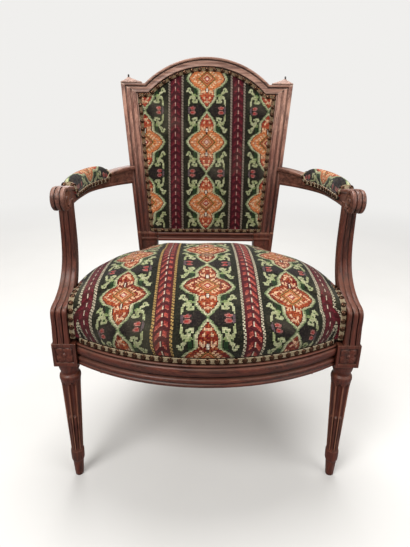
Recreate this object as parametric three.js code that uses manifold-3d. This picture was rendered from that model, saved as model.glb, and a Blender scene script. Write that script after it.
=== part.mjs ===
// An open armchair with a carved wooden frame and a nailed needlepoint cover on its seat, back and arms.
// Millimetres, +Z up. The sitter faces -Y, left is -X. The frame is worked out from the front legs' axis,
// and the whole chair is then moved so that the origin lies on the floor under its middle.
import * as THREE from "three";
import { mergeVertices } from "three/addons/utils/BufferGeometryUtils.js";
import Module from "manifold-3d";

const wasm = await Module();
wasm.setup();

// Clearances
const fit_gap = 0.3; // between two pieces that touch
const overrun = 2; // how far a cutter runs past the face it cuts
const sunk = 0.6; // how far a joined detail is let into the body that carries it
const weld = 0.001;

// Seat frame
const rail_bottom = 288;
const rail_height = 46;
const rail_thickness = 28;
const rail_steps = 7;
const rebate_depth = 9; // from the moulded face of a rail back to the face that the cover is nailed to
const rebate_height = 14;
const rail_top = rail_bottom + rail_height;
const tack_top = rail_top + rebate_height;
const bow_depth = 74; // how far the front rail's middle stands before its ends
const rail_set_back = 7; // from a leg block's face to the rail's face beside it
const side_bow = 14;
const lip_end_gap = 10; // how far the front rail's tacking lip stops short of the legs
const facets = 8; // sides of dowels and other small round pieces

// Front legs
const leg_spread = 269; // from the chair's middle to the axis of a front leg's block
const block_width = 45;
const block_bottom = 287;
const block_top = 336;
const leg_radius = 20.5;
const leg_splay = 6.6; // how far a foot stands outside its block's axis
const leg_sides = 16;
const flute_count = 8;
const flute_radius = 5;
const flute_sides = 6;
const flute_bottom = 72;
const flute_top = 229;
const rosette_panel = 33;
const panel_depth = 1.6;
const rosette_radius = 12;
const rosette_rise = 2.2;
// radius as a share of the leg's radius, height as a share of the leg's height
const turned_shares = [
  [0.4, 0],
  [0.44, 0.02],
  [0.54, 0.14],
  [0.64, 0.152],
  [0.68, 0.18],
  [0.64, 0.208],
  [0.6, 0.22],
  [0.94, 0.81],
  [1, 0.83],
  [0.97, 0.855],
  [0.76, 0.868],
  [0.8, 0.88],
  [0.98, 0.905],
  [1, 0.935],
  [0.94, 0.965],
  [1.02, 0.975],
  [1.02, 1],
];
const flute_low_share = 0.64;
const flute_high_share = 0.97;

// Back: its plane passes through this height and depth and leans back
const back_y = 388;
const back_z = 400;
const recline = THREE.MathUtils.degToRad(9.6);
const back_thickness = 30;
const stile_low_outer = 182; // half width over the uprights at back_z
const stile_lean_share = 0.0901; // how far an upright moves outwards for each unit of its length
const stile_low_face = 34; // moulded face at back_z
const stile_face_growth_share = 0.0135;
const back_rebate_width = 12;
const back_rebate_depth = 7;
const shoulder_v = 418; // along the back, from back_z up to the shoulders
const crest_rise = 64; // from the shoulders up to the middle of the arch
const arch_radius = 230;
const crest_face = 23;
const arch_steps = 10;
const groove_depth = 3;
const lower_rail_bottom_v = 16;
const lower_rail_top_v = 39;
const plinth_inner = 129;
const plinth_thickness = 40;
const plinth_recess = 3;
// face mouldings of an upright, as shares of its face from the outer edge: start and end of each raised bead
const bead_shares = [
  [0, 0.24],
  [0.34, 0.56],
  [0.68, 0.9],
];
const crest_bead_shares = [
  [0, 0.27],
  [0.38, 0.96],
];

// Rear legs
const rear_block_front = 372;
const rear_block_depth = 42;
const rear_leg_rake = 32; // how far a rear foot stands behind its block's axis

// Shoulder caps and the pins of the lost finials
const cap_height = 13;
const cap_edge = 3;
const cap_apex_share = 0.66;
const cap_tip = 4.8; // half width of the flat on a cap's top
const pin_radius = 1.6;
const pin_rise = 9;
const pin_depth = 12;

// Arms
const arm_width = 27;
const arm_chamfer = 3;
const scroll_radius = 21;
const scroll_width = 25.5;
const scroll_y = 38;
const arm_under = 566; // the arm's underside at the back
const arm_height = 36; // from there up to the top over the arm's middle
const arm_end_rise = 9; // how much higher the top is where it meets the back
const scroll_lift = 30; // the scroll's axis over the arm's underside
const scroll_drop = 18; // how far the arm's underside lies below the scroll's axis at the front
const scroll_z = arm_under + scroll_lift;
const arm_under_front = scroll_z - scroll_drop;
const arm_top_middle = arm_under + arm_height;
const arm_top_end = arm_top_middle + arm_end_rise;
const scroll_groove = 2;
const scroll_sides = 14;
const arm_front_x = 262.8;
const arm_bow_x = 275.5;
const arm_end_in = 9.2; // how far inside the upright's outer face the arm's middle line ends
const arm_end_behind = 21; // and how far behind the upright's front face
const arm_tenon_z = (arm_under + arm_top_end) / 2;
const arm_end_x = stile_outer(rail_top_v(arm_tenon_z)) - arm_end_in;
const arm_end_y = back_y + (arm_tenon_z - back_z) * Math.tan(recline) + arm_end_behind;
const arm_scroll_steps = 3;
const arm_end_steps = 6;
const arm_table_steps = 360;
const arm_tenon_radius = 7;
const arm_fall = 113; // how far behind the scroll the arm's top has come down to its middle height
const arm_level_share = 0.75; // where the arm's top starts to rise to the back, as a share of its length
const pad_front_y = 111;
const pad_back_y = 354;
const pad_seat_drop = 9; // the wood under the pad lies this much below the arm's top
const pad_side_rebate = 2.6;
// across as a share of the way from the arm's end to its widest, depth as a share of the way from scroll to end
const arm_plan_shares = [
  [0.882, 0.066],
  [0.929, 0.152],
  [0.977, 0.296],
  [1, 0.513],
  [0.89, 0.661],
  [0.708, 0.775],
  [0.495, 0.868],
  [0.182, 0.955],
];

// Arm supports
const support_bottom_width = 32;
const support_top_width = 25;
const support_bottom_x = 273;
const support_top_x = 263.8;
const support_sweep = 88;
const support_spare = 12; // how far a support's form runs on past the arm's underside, where it is cut
const support_rise = arm_under_front - block_top + support_spare;
const support_tenon_radius = 7;
const support_tenon_length = 13;
const dowel_radius = 6;
// depth as a share of the sweep from the block's front face, height as a share of the rise
const support_front_shares = [
  [0, 0],
  [0, 0.14],
  [0, 0.272],
  [0.34, 0.312],
  [0.62, 0.362],
  [0.84, 0.44],
  [0.96, 0.54],
  [1, 0.67],
  [0.98, 0.8],
  [0.95, 0.92],
  [0.94, 1],
];
const support_rear_shares = [
  [0.5, 0],
  [0.5, 0.07],
  [0.54, 0.14],
  [0.74, 0.25],
  [0.94, 0.325],
  [1.08, 0.42],
  [1.16, 0.53],
  [1.19, 0.67],
  [1.17, 0.8],
  [1.14, 0.92],
  [1.13, 1],
];
// across the support as a share of its half width, depth as a share of its thickness
const reed_shares = [
  [-1, 0.12],
  [-0.9, 0],
  [-0.4, 0],
  [-0.31, 0.13],
  [-0.22, 0],
  [0.22, 0],
  [0.31, 0.13],
  [0.4, 0],
  [0.9, 0],
  [1, 0.12],
  [1, 1],
  [-1, 1],
];

// Tenons
const tenon_thickness = 10;
const tenon_length = 20;
const short_tenon = 13;
const lower_tenon_edge = 4; // from the lower back rail's edges to its tenons' edges
const crest_tenon_edge = 2;
const tenon_bottom = 297;
const tenon_top = 319;

// Corner blocks
const corner_leg = 62;
const corner_bottom = 296;
const corner_top = 326;

// Webbing and springs
const strap_width = 56;
const strap_thickness = 1.5;
const long_straps_front = [-171, -57, 57, 171];
const long_straps_rear_share = 0.54;
const cross_straps_y = [62, 160, 258];
const spring_places = [
  [0, 168],
  [-92, 84],
  [92, 84],
  [-74, 250],
  [74, 250],
];
const spring_turns = 4;
const spring_turn_steps = 7;
const spring_wire = 2;
const spring_wire_sides = 4;
const spring_end_radius = 36;
const spring_waist_radius = 27;
const spring_height = 72;

// Seat upholstery
const cloth = 1.5;
const hessian_thickness = 1;
const hessian_crown = 40;
const hessian_ring_shares = [1, 0.6];
const seat_middle_y = 150;
const seat_crown = 107; // from the tacking edge up to the top of the seat
const seat_bulge = 5.8; // how far the seat's sides swell over the rails
// height of the seat's sides before they turn over, and how flat the top is, by the way that they face
const seat_side = { height: 80, power: 3 };
const seat_front = { height: 49, power: 1.8 };
const seat_rear = { height: 52, power: 1.9 };
const seat_turn = 5; // how suddenly the sides change into the front
// outwards as a share of the bulge, height as a share of the side's height
const seat_wall_shares = [
  [0, 0],
  [0.9, 0.3],
  [0.9, 0.66],
  [0, 0.9],
  [-1.5, 1],
];
const seat_dome_shares = [0.82, 0.58, 0.3];
// corner of the seat beside an arm support: across as a share of the block's width from its inner face,
// depth as a share of the block's width from its front face
const seat_corner_shares = [
  [0.06, 0.16],
  [0.26, 0.19],
  [0.5, 0.3],
];

// Back upholstery
const back_crown = 18;
const back_margin = 12;
const back_middle_v = 240;
const back_ring_shares = [1, 0.94, 0.8, 0.55, 0.25];
const back_power = 3; // how flat the middle of the back's stuffing is
const field_steps = 5; // stations up each side of the covered field

// Arm pads
const pad_crown = 27;
const pad_skirt = 13; // how far the cover comes down the sides of the arm
const pad_end_power = 8; // how full the pad's ends are
const pad_edge = 1; // the stuffing's least height
// stations along the pad as shares of its length, closer together at its rounded ends
const pad_station_shares = [0, 0.012, 0.05, 0.12, 0.3, 0.5, 0.7, 0.88, 0.95, 0.988, 1];
const pad_over_shares = [
  [-1, 0],
  [-0.96, 0.35],
  [-0.72, 0.76],
  [-0.3, 0.97],
  [0.3, 0.97],
  [0.72, 0.76],
  [0.96, 0.35],
  [1, 0],
];

// Braid and nails
const braid_width = 11;
const braid_thickness = 1.2;
const nail_radius = 5.2;
const nail_rise = 3;
const nail_sides = 5;
const seat_nail_pitch = 16.5;
const back_nail_pitch = 19.4;
const arm_nail_pitch = 18;

// Materials
function material(color, roughness, metalness) {
  return new THREE.MeshStandardMaterial({ color, roughness, metalness });
}
const wood = material(0x6b4534, 0.55, 0);
const tapestry = material(0x3a4a38, 0.95, 0);
const plain_cloth = material(0x26302a, 0.95, 0);
const galon = material(0x9c8b6c, 0.9, 0);
const jute = material(0xa8875a, 0.95, 0);
const linen = material(0xb5a382, 0.95, 0);
const horsehair = material(0x3b2f28, 1, 0);
const steel = material(0x6f7175, 0.35, 0.9);

const chair = new THREE.Group();

function add(name, geometry, finish, side = 1) {
  const mesh = new THREE.Mesh(geometry, finish);
  mesh.name = name;
  mesh.scale.x = side;
  chair.add(mesh);
}

// One piece modelled on the right, and its mirror image on the left
function add_pair(name, geometry, finish) {
  add("left_" + name, geometry, finish, -1);
  add("right_" + name, geometry, finish, 1);
}

// A closed geometry as a solid that can be joined and cut
function solid(geometry) {
  const bare = geometry.index ? geometry.toNonIndexed() : geometry.clone();
  for (const key of Object.keys(bare.attributes)) {
    if (key !== "position") {
      bare.deleteAttribute(key);
    }
  }
  const merged = mergeVertices(bare, weld);
  const vertProperties = merged.attributes.position.array;
  const triVerts = new Uint32Array(merged.index.array);
  return new wasm.Manifold(new wasm.Mesh({ numProp: 3, vertProperties, triVerts }));
}

function geometry_of(body) {
  const mesh = body.getMesh();
  const geometry = new THREE.BufferGeometry();
  geometry.setAttribute("position", new THREE.BufferAttribute(new Float32Array(mesh.vertProperties), 3));
  geometry.setIndex(new THREE.BufferAttribute(new Uint32Array(mesh.triVerts), 1));
  return geometry;
}

function join(bodies) {
  return bodies.reduce((whole, body) => whole.add(body));
}

function cut(body, cutters) {
  return cutters.reduce((rest, cutter) => rest.subtract(cutter), body);
}

function box(x0, x1, y0, y1, z0, z1) {
  const geometry = new THREE.BoxGeometry(x1 - x0, y1 - y0, z1 - z0);
  return solid(geometry.translate((x0 + x1) / 2, (y0 + y1) / 2, (z0 + z1) / 2));
}

function flat_shape(points) {
  return new THREE.Shape(points.map(([x, y]) => new THREE.Vector2(x, y)));
}

// An upright prism on a plan outline
function plate(points, z0, z1) {
  const geometry = new THREE.ExtrudeGeometry(flat_shape(points), { depth: z1 - z0, bevelEnabled: false });
  return solid(geometry.translate(0, 0, z0));
}

// A rod with flat ends between two points
function rod(from, to, radius, sides) {
  const along = new THREE.Vector3().subVectors(to, from);
  const geometry = new THREE.CylinderGeometry(radius, radius, along.length(), sides);
  const up = new THREE.Vector3(0, 1, 0);
  geometry.applyQuaternion(new THREE.Quaternion().setFromUnitVectors(up, along.clone().normalize()));
  const middle = new THREE.Vector3().addVectors(from, to).multiplyScalar(1 / 2);
  return geometry.translate(middle.x, middle.y, middle.z);
}

// A closed body through rings of points: each ring is an array of Vector3 in the same order,
// and the outline is the first ring's shape in its own plane, used to close both ends
function loft(rings, outline) {
  const count = rings[0].length;
  const position = rings.flat().flatMap((p) => [p.x, p.y, p.z]);
  const index = [];
  for (let i = 0; i < rings.length - 1; i++) {
    for (let j = 0; j < count; j++) {
      const a = i * count + j;
      const b = i * count + ((j + 1) % count);
      index.push(a, b, b + count, a, b + count, a + count);
    }
  }
  const flat = outline.map(([x, y]) => new THREE.Vector2(x, y));
  const last = (rings.length - 1) * count;
  for (const corners of THREE.ShapeUtils.triangulateShape(flat, [])) {
    const [a, b, c] = corners.sort((one, other) => one - other);
    index.push(a, c, b, last + a, last + b, last + c);
  }
  return closed_out(position, index);
}

// A ring of rings, such as a strip that comes back to its start
function loop_loft(rings) {
  const count = rings[0].length;
  const position = rings.flat().flatMap((p) => [p.x, p.y, p.z]);
  const index = [];
  for (let i = 0; i < rings.length; i++) {
    const next = (i + 1) % rings.length;
    for (let j = 0; j < count; j++) {
      const k = (j + 1) % count;
      const [a, b] = [i * count + j, i * count + k];
      const [c, d] = [next * count + k, next * count + j];
      index.push(a, b, c, a, c, d);
    }
  }
  return closed_out(position, index);
}

// Turns the faces outwards if the order of the rings made them point in
function closed_out(position, index) {
  let volume = 0;
  const at = (i) => new THREE.Vector3(position[i * 3], position[i * 3 + 1], position[i * 3 + 2]);
  for (let i = 0; i < index.length; i += 3) {
    const [a, b, c] = [at(index[i]), at(index[i + 1]), at(index[i + 2])];
    volume += a.dot(b.cross(c));
  }
  if (volume < 0) {
    index.reverse();
  }
  const geometry = new THREE.BufferGeometry();
  geometry.setAttribute("position", new THREE.Float32BufferAttribute(position, 3));
  geometry.setIndex(index);
  return geometry;
}

// Domes: surfaces over a closed outline that shrinks ring by ring towards its middle. Each layer is a list
// of rings of Vector3 from the edge to the middle, and a point that closes it
function between_layers(top, bottom) {
  const count = top.rings[0].length;
  const rings = [...bottom.rings.slice().reverse(), ...top.rings];
  const position = rings.flat().flatMap((p) => [p.x, p.y, p.z]);
  const index = [];
  for (let i = 0; i < rings.length - 1; i++) {
    for (let j = 0; j < count; j++) {
      const a = i * count + j;
      const b = i * count + ((j + 1) % count);
      index.push(a, b, b + count, a, b + count, a + count);
    }
  }
  const [low, high] = [rings.length * count, rings.length * count + 1];
  position.push(bottom.middle.x, bottom.middle.y, bottom.middle.z);
  position.push(top.middle.x, top.middle.y, top.middle.z);
  const last = (rings.length - 1) * count;
  for (let j = 0; j < count; j++) {
    const k = (j + 1) % count;
    index.push(low, k, j, high, last + j, last + k);
  }
  return closed_out(position, index);
}

// Moves a closed plan outline outwards, or inwards where the distance is negative
function grown(points, distance) {
  const count = points.length;
  return points.map(([x, y], i) => {
    const [ax, ay] = points[(i + count - 1) % count];
    const [bx, by] = points[(i + 1) % count];
    const before = new THREE.Vector2(y - ay, ax - x).normalize();
    const after = new THREE.Vector2(by - y, x - bx).normalize();
    const out = before.clone().add(after);
    out.multiplyScalar((2 * distance) / out.lengthSq());
    return [x + out.x, y + out.y];
  });
}

// Braid: a flat strip along stations that each have a point, an outward normal and a direction across
function braid(stations, closed) {
  const half = braid_width / 2;
  const rings = stations.map(({ point, normal, across }) => {
    const corner = (side, rise) => point.clone().addScaledVector(across, side).addScaledVector(normal, rise);
    return [corner(-half, 0), corner(half, 0), corner(half, braid_thickness), corner(-half, braid_thickness)];
  });
  const outline = [
    [-half, 0],
    [half, 0],
    [half, braid_thickness],
    [-half, braid_thickness],
  ];
  return solid(closed ? loop_loft(rings) : loft(rings, outline));
}

// Low nail heads at even steps along the stations, let into the braid
function nailed(stations, pitch, closed) {
  const strip = braid(stations, closed);
  const path = closed ? [...stations, stations[0]] : stations;
  const lengths = [0];
  for (let i = 1; i < path.length; i++) {
    lengths.push(lengths[i - 1] + path[i].point.distanceTo(path[i - 1].point));
  }
  const total = lengths[lengths.length - 1];
  const count = Math.round(total / pitch);
  const heads = [];
  for (let k = 0; k < count; k++) {
    const run = (total * (k + 1 / 2)) / count;
    const i = lengths.findIndex((length) => length > run) - 1;
    const share = (run - lengths[i]) / (lengths[i + 1] - lengths[i]);
    const point = path[i].point.clone().lerp(path[i + 1].point, share);
    const normal = path[i].normal.clone().lerp(path[i + 1].normal, share).normalize();
    const head = new THREE.ConeGeometry(nail_radius, nail_rise + sunk, nail_sides);
    head.translate(0, (nail_rise + sunk) / 2 + braid_thickness - sunk, 0);
    head.applyQuaternion(new THREE.Quaternion().setFromUnitVectors(new THREE.Vector3(0, 1, 0), normal));
    head.translate(point.x, point.y, point.z);
    heads.push(solid(head));
  }
  return geometry_of(join([strip, ...heads]));
}

// Front rail: the middle of its bow, and its plan at a distance behind its face
const block_half = block_width / 2;
const rail_end_x = leg_spread - block_half;
const rail_end_y = -block_half + rail_set_back;
const bow_radius = (rail_end_x ** 2 + bow_depth ** 2) / (2 * bow_depth);
const bow_middle_y = rail_end_y - bow_depth + bow_radius;
const rail_front_y = bow_middle_y - bow_radius;

function front_point(x, behind) {
  const radius = bow_radius - behind;
  return [x, bow_middle_y - Math.sqrt(radius ** 2 - x ** 2)];
}

// Side rail: an arc from the front block's rear face to the rear block's front face
const side_front = new THREE.Vector2(leg_spread + block_half - rail_set_back, block_half);
const rear_block_outer = stile_outer(rail_top_v(rail_bottom));
const side_rear = new THREE.Vector2(rear_block_outer - rail_set_back, rear_block_front);
const side_chord = side_front.distanceTo(side_rear);
const side_radius = (side_chord ** 2 / 4 + side_bow ** 2) / (2 * side_bow);
const side_in = new THREE.Vector2(side_rear.y - side_front.y, side_front.x - side_rear.x).normalize();
const side_middle = side_front.clone().lerp(side_rear, 1 / 2);
side_middle.addScaledVector(side_in, side_bow - side_radius);

function rail_top_v(z) {
  return (z - back_z) / Math.cos(recline);
}

function stile_outer(v) {
  return stile_low_outer + stile_lean_share * v;
}

function stile_face(v) {
  return stile_low_face + stile_face_growth_share * v;
}

// A point of the side rail's plan at a depth along the chair and a distance behind its face
function side_point(y, behind) {
  const radius = side_radius - behind;
  return [side_middle.x + Math.sqrt(radius ** 2 - (y - side_middle.y) ** 2), y];
}

// Section of a moulded rail: distance behind its face and height above the rail's bottom
const rail_face_shares = [
  [0.06, 0],
  [0, 0.06],
  [0, 0.36],
  [0.14, 0.4],
  [0.14, 0.46],
  [0.04, 0.5],
  [-0.05, 0.62],
  [-0.07, 0.74],
  [-0.03, 0.86],
  [0.1, 0.93],
  [0.12, 1],
];

function rail_section(grow) {
  const face = rail_face_shares.map(([behind, up]) => [
    behind * rail_thickness - grow,
    rail_bottom + up * rail_height,
  ]);
  face[0][1] -= grow;
  return [
    ...face,
    [rebate_depth - grow, rail_top],
    [rebate_depth - grow, tack_top + grow],
    [rail_thickness + grow, tack_top + grow],
    [rail_thickness + grow, rail_bottom - grow],
  ];
}

function rail_stations(from, to) {
  return Array.from({ length: rail_steps + 1 }, (_, i) => from + ((to - from) * i) / rail_steps);
}

function swept_rail(plan, from, to, grow) {
  const section = rail_section(grow);
  const rings = rail_stations(from, to).map((place) =>
    section.map(([behind, z]) => {
      const [x, y] = plan(place, behind);
      return new THREE.Vector3(x, y, z);
    }),
  );
  return solid(loft(rings, section));
}

// The tacking lip of each rail stops short of the posts, so that the cover can turn down beside them
const lip_clear = cloth + fit_gap * 2;
const lip_reach = rail_end_x - lip_end_gap;
const lip_front = block_half + lip_clear;
const lip_rear = rear_block_front - lip_clear;
const lip_rear_reach = plinth_inner - lip_clear;

const front_rail_reach = rail_end_x + overrun;
const side_rail_from = block_half - overrun;
const side_rail_to = rear_block_front + overrun;

function front_rail_body(grow) {
  const half = swept_rail(front_point, 0, front_rail_reach, grow);
  const swept = join([half, mirrored(half)]);
  const end = rail_end_x - fit_gap + grow;
  const lip = lip_reach + grow;
  const room = [
    box(-end, end, -bow_radius, bow_radius, 0, rail_top + grow),
    box(-lip, lip, -bow_radius, bow_radius, rail_top - overrun, scroll_z),
  ];
  return swept.intersect(join(room));
}

function side_rail_body(grow) {
  const swept = swept_rail(side_point, side_rail_from, side_rail_to, grow);
  const [front, rear] = [block_half + fit_gap - grow, rear_block_front - fit_gap + grow];
  const room = [
    box(0, bow_radius, front, rear, 0, rail_top + grow),
    box(0, bow_radius, lip_front - grow, lip_rear + grow, rail_top - overrun, scroll_z),
  ];
  return swept.intersect(join(room));
}

// Tenons, and the mortises that hold them
const front_tenon_y = rail_end_y + rail_thickness / 2;

function front_tenon(grow) {
  const half = tenon_thickness / 2 + grow;
  const from = rail_end_x - fit_gap - sunk - overrun;
  const to = rail_end_x + tenon_length + grow;
  return box(from, to, front_tenon_y - half, front_tenon_y + half, tenon_bottom - grow, tenon_top + grow);
}

const side_tenon_front_x = side_point(block_half, rail_thickness / 2)[0];
const side_tenon_rear_x = side_point(rear_block_front, rail_thickness / 2)[0];

function side_front_tenon(grow) {
  const half = tenon_thickness / 2 + grow;
  const from = block_half - short_tenon - grow;
  const to = block_half + fit_gap + sunk + overrun;
  const x = side_tenon_front_x;
  return box(x - half, x + half, from, to, tenon_bottom - grow, tenon_top + grow);
}

function side_rear_tenon(grow) {
  const half = tenon_thickness / 2 + grow;
  const from = rear_block_front - fit_gap - sunk - overrun;
  const to = rear_block_front + tenon_length + grow;
  const x = side_tenon_rear_x;
  return box(x - half, x + half, from, to, tenon_bottom - grow, tenon_top + grow);
}

const rear_rail_y = rear_block_front + rear_block_depth / 2;

function rear_tenon(grow) {
  const half = tenon_thickness / 2 + grow;
  const from = plinth_inner - fit_gap - overrun;
  const to = plinth_inner + short_tenon + grow;
  return box(from, to, rear_rail_y - half, rear_rail_y + half, tenon_bottom - grow, tenon_top + grow);
}

function mirrored(body) {
  const mesh = body.getMesh();
  const position = Array.from(mesh.vertProperties, (value, i) => (i % 3 ? value : -value));
  return solid(closed_out(position, Array.from(mesh.triVerts)));
}

// A turned and fluted leg with its top at the origin of height, leaning by a shear so that its foot stays flat
function turned_leg(x, y, top, lean_x, lean_y) {
  const points = [new THREE.Vector2(0, 0)];
  for (const [radius, height] of turned_shares) {
    points.push(new THREE.Vector2(radius * leg_radius, height * top));
  }
  const end = top + sunk;
  points.push(new THREE.Vector2(points[points.length - 1].x, end), new THREE.Vector2(0, end));
  const body = solid(new THREE.LatheGeometry(points, leg_sides).rotateX(Math.PI / 2));
  const flutes = [];
  for (let i = 0; i < flute_count; i++) {
    const angle = ((i + 1 / 2) * 2 * Math.PI) / flute_count;
    const at = (share, z) => {
      const reach = share * leg_radius + flute_radius / 2;
      return new THREE.Vector3(reach * Math.cos(angle), reach * Math.sin(angle), z);
    };
    const scale = top / block_bottom;
    const [low, high] = [at(flute_low_share, flute_bottom * scale), at(flute_high_share, flute_top * scale)];
    flutes.push(solid(rod(low, high, flute_radius, flute_sides)));
  }
  const fluted = geometry_of(cut(body, flutes));
  const shear = new THREE.Matrix4().set(
    1, 0, -lean_x / top, x + lean_x,
    0, 1, -lean_y / top, y + lean_y,
    0, 0, 1, 0,
    0, 0, 0, 1,
  );
  return solid(fluted.applyMatrix4(shear));
}

// Sunk panel with a raised rosette on one face of a block
function rosette(turn, distance) {
  const panel = new THREE.BoxGeometry(rosette_panel, panel_depth + overrun, rosette_panel);
  panel.translate(0, -(distance - panel_depth + (panel_depth + overrun) / 2), 0);
  const boss = new THREE.CylinderGeometry(rosette_radius / 2, rosette_radius, rosette_rise + sunk, facets);
  boss.rotateX(Math.PI).translate(0, -(distance - panel_depth - sunk + (rosette_rise + sunk) / 2), 0);
  const middle_z = (block_bottom + block_top) / 2;
  for (const piece of [panel, boss]) {
    piece.rotateZ(turn).translate(leg_spread, 0, middle_z);
  }
  return { panel: solid(panel), boss: solid(boss) };
}

function block_box(grow) {
  const half = block_half + grow;
  return box(leg_spread - half, leg_spread + half, -half, half, block_bottom - grow, block_top + grow);
}

function make_front_legs() {
  const block = block_box(0);
  const front = rosette(0, block_half);
  const outer = rosette(Math.PI / 2, block_half);
  const carved = join([cut(block, [front.panel, outer.panel]), front.boss, outer.boss]);
  const leg = turned_leg(leg_spread, 0, block_bottom, leg_splay, 0);
  const holes = [
    front_tenon(fit_gap),
    side_front_tenon(fit_gap),
    support_tenon(fit_gap),
  ];
  add_pair("front_leg", geometry_of(cut(join([carved, leg]), holes)), wood);
}

function make_seat_rails() {
  const tenons = [front_tenon(0), mirrored(front_tenon(0))];
  add("front_seat_rail", geometry_of(join([front_rail_body(0), ...tenons])), wood);
  add_pair("seat_rail", geometry_of(join([side_rail_body(0), side_front_tenon(0), side_rear_tenon(0)])), wood);
  const rear_half = plinth_inner - fit_gap;
  const rear_front = rear_rail_y - rail_thickness / 2;
  const rear_face = rear_front + rail_thickness;
  const rear = [
    box(-rear_half, rear_half, rear_front, rear_face, rail_bottom, rail_top),
    box(-lip_rear_reach, lip_rear_reach, rear_front, rear_face - rebate_depth, rail_top - overrun, tack_top),
    rear_tenon(0),
    mirrored(rear_tenon(0)),
  ];
  add("rear_seat_rail", geometry_of(join(rear)), wood);
}

// Glue blocks that fill the inner corners of the seat frame
function make_corner_blocks() {
  const inner_x = rail_end_x;
  const front = plate(
    [
      [inner_x - corner_leg, -block_half],
      [inner_x + block_half, -block_half],
      [inner_x + block_half, corner_leg],
      [inner_x, corner_leg],
    ],
    corner_bottom,
    corner_top,
  );
  const leg_room = box(
    rail_end_x - fit_gap,
    rail_end_x + block_width,
    -block_width,
    block_half + fit_gap,
    0,
    scroll_z,
  );
  const neighbours = [front_rail_body(fit_gap), side_rail_body(fit_gap), leg_room];
  const front_block = cut(front, neighbours).decompose().sort((a, b) => b.volume() - a.volume())[0];
  add_pair("front_corner_block", geometry_of(front_block), wood);
  const rear_x = plinth_inner;
  const rear = plate(
    [
      [rear_x - corner_leg, rear_rail_y],
      [rear_x - corner_leg, rear_block_front],
      [rear_x, rear_block_front - corner_leg],
      [rear_x + corner_leg, rear_block_front - corner_leg],
      [rear_x + corner_leg, rear_rail_y],
    ],
    corner_bottom,
    corner_top,
  );
  const post_room = box(
    plinth_inner - fit_gap,
    plinth_inner + block_width * 2,
    rear_block_front - fit_gap,
    rear_block_front + block_width,
    0,
    scroll_z,
  );
  const rail_room = box(
    -plinth_inner,
    plinth_inner + fit_gap,
    rear_rail_y - rail_thickness / 2 - fit_gap,
    rear_rail_y + rail_thickness,
    0,
    scroll_z,
  );
  const rear_cut = cut(rear, [side_rail_body(fit_gap), post_room, rail_room]);
  const rear_block = rear_cut.decompose().sort((a, b) => b.volume() - a.volume())[0];
  add_pair("rear_corner_block", geometry_of(rear_block), wood);
}

// The back's own frame: across, up along the back, and forwards out of it
const back_frame = new THREE.Matrix4().makeBasis(
  new THREE.Vector3(1, 0, 0),
  new THREE.Vector3(0, Math.sin(recline), Math.cos(recline)),
  new THREE.Vector3(0, -Math.cos(recline), Math.sin(recline)),
);
back_frame.setPosition(0, back_y, back_z);

function on_back(u, v, n) {
  return new THREE.Vector3(u, v, n).applyMatrix4(back_frame);
}

function back_plate(points, n0, n1) {
  const geometry = new THREE.ExtrudeGeometry(flat_shape(points), { depth: n1 - n0, bevelEnabled: false });
  return solid(geometry.translate(0, 0, n0).applyMatrix4(back_frame));
}

// A strip of an upright between two distances from its outer edge, given as shares of its face
function stile_strip(start, end, v0, v1, n0, n1, grow = 0) {
  const at = (share, v) => stile_outer(v) - share * stile_face(v);
  const points = [
    [at(end, v0) - grow, v0],
    [at(start, v0) + grow, v0],
    [at(start, v1) + grow, v1],
    [at(end, v1) - grow, v1],
  ];
  return back_plate(points, n0 - grow, n1 + grow);
}

const rebate_share = 1 + back_rebate_width / stile_low_face;
const bead_start_v = lower_rail_top_v + crest_bead_shares[0][1] * crest_face;
const bead_end_v = shoulder_v - crest_face / 2;
const plinth_foot_v = rail_top_v(tack_top);

function plinth_outline() {
  return [
    [plinth_inner, plinth_foot_v - rebate_height],
    [stile_outer(plinth_foot_v), plinth_foot_v - rebate_height],
    [stile_outer(lower_rail_top_v), lower_rail_top_v],
    [plinth_inner, lower_rail_top_v],
  ];
}

function rear_block_box(grow) {
  const [front, rear] = [rear_block_front - grow, rear_block_front + rear_block_depth + grow];
  return box(plinth_inner - grow, rear_block_outer + grow, front, rear, rail_bottom - grow, tack_top + grow);
}

function make_back_posts() {
  const top_band_v = shoulder_v - crest_face;
  const ground = -groove_depth;
  const stile = [
    stile_strip(0, rebate_share, lower_rail_top_v - sunk, top_band_v, -back_thickness, -back_rebate_depth),
    stile_strip(0, rebate_share, top_band_v - sunk, shoulder_v, -back_thickness, ground),
    stile_strip(0, 1, lower_rail_top_v - sunk, top_band_v, -back_rebate_depth - sunk, ground),
    ...bead_shares.map(([start, end]) => stile_strip(start, end, bead_start_v, bead_end_v, ground - sunk, 0)),
    stile_strip(0, rebate_share, shoulder_v - crest_face / 4, shoulder_v, ground - sunk, 0),
  ];
  const plinth = back_plate(plinth_outline(), -plinth_thickness, ground);
  const cap = back_plate(
    [
      [plinth_inner, lower_rail_bottom_v + plinth_recess],
      [stile_outer(lower_rail_bottom_v), lower_rail_bottom_v + plinth_recess],
      [stile_outer(lower_rail_top_v), lower_rail_top_v - plinth_recess],
      [plinth_inner, lower_rail_top_v - plinth_recess],
    ],
    ground - sunk,
    0,
  );
  const block = rear_block_box(0);
  const middle_x = (plinth_inner + rear_block_outer) / 2;
  const leg = turned_leg(middle_x, rear_rail_y, rail_bottom, 0, rear_leg_rake);
  const holes = [
    side_rear_tenon(fit_gap),
    rear_tenon(fit_gap),
    lower_back_tenon(fit_gap),
    crest_tenon(fit_gap),
    arm_tenon(fit_gap),
    pin_rod(fit_gap),
  ];
  add_pair("back_post", geometry_of(cut(join([...stile, plinth, cap, block, leg]), holes)), wood);
}

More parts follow.
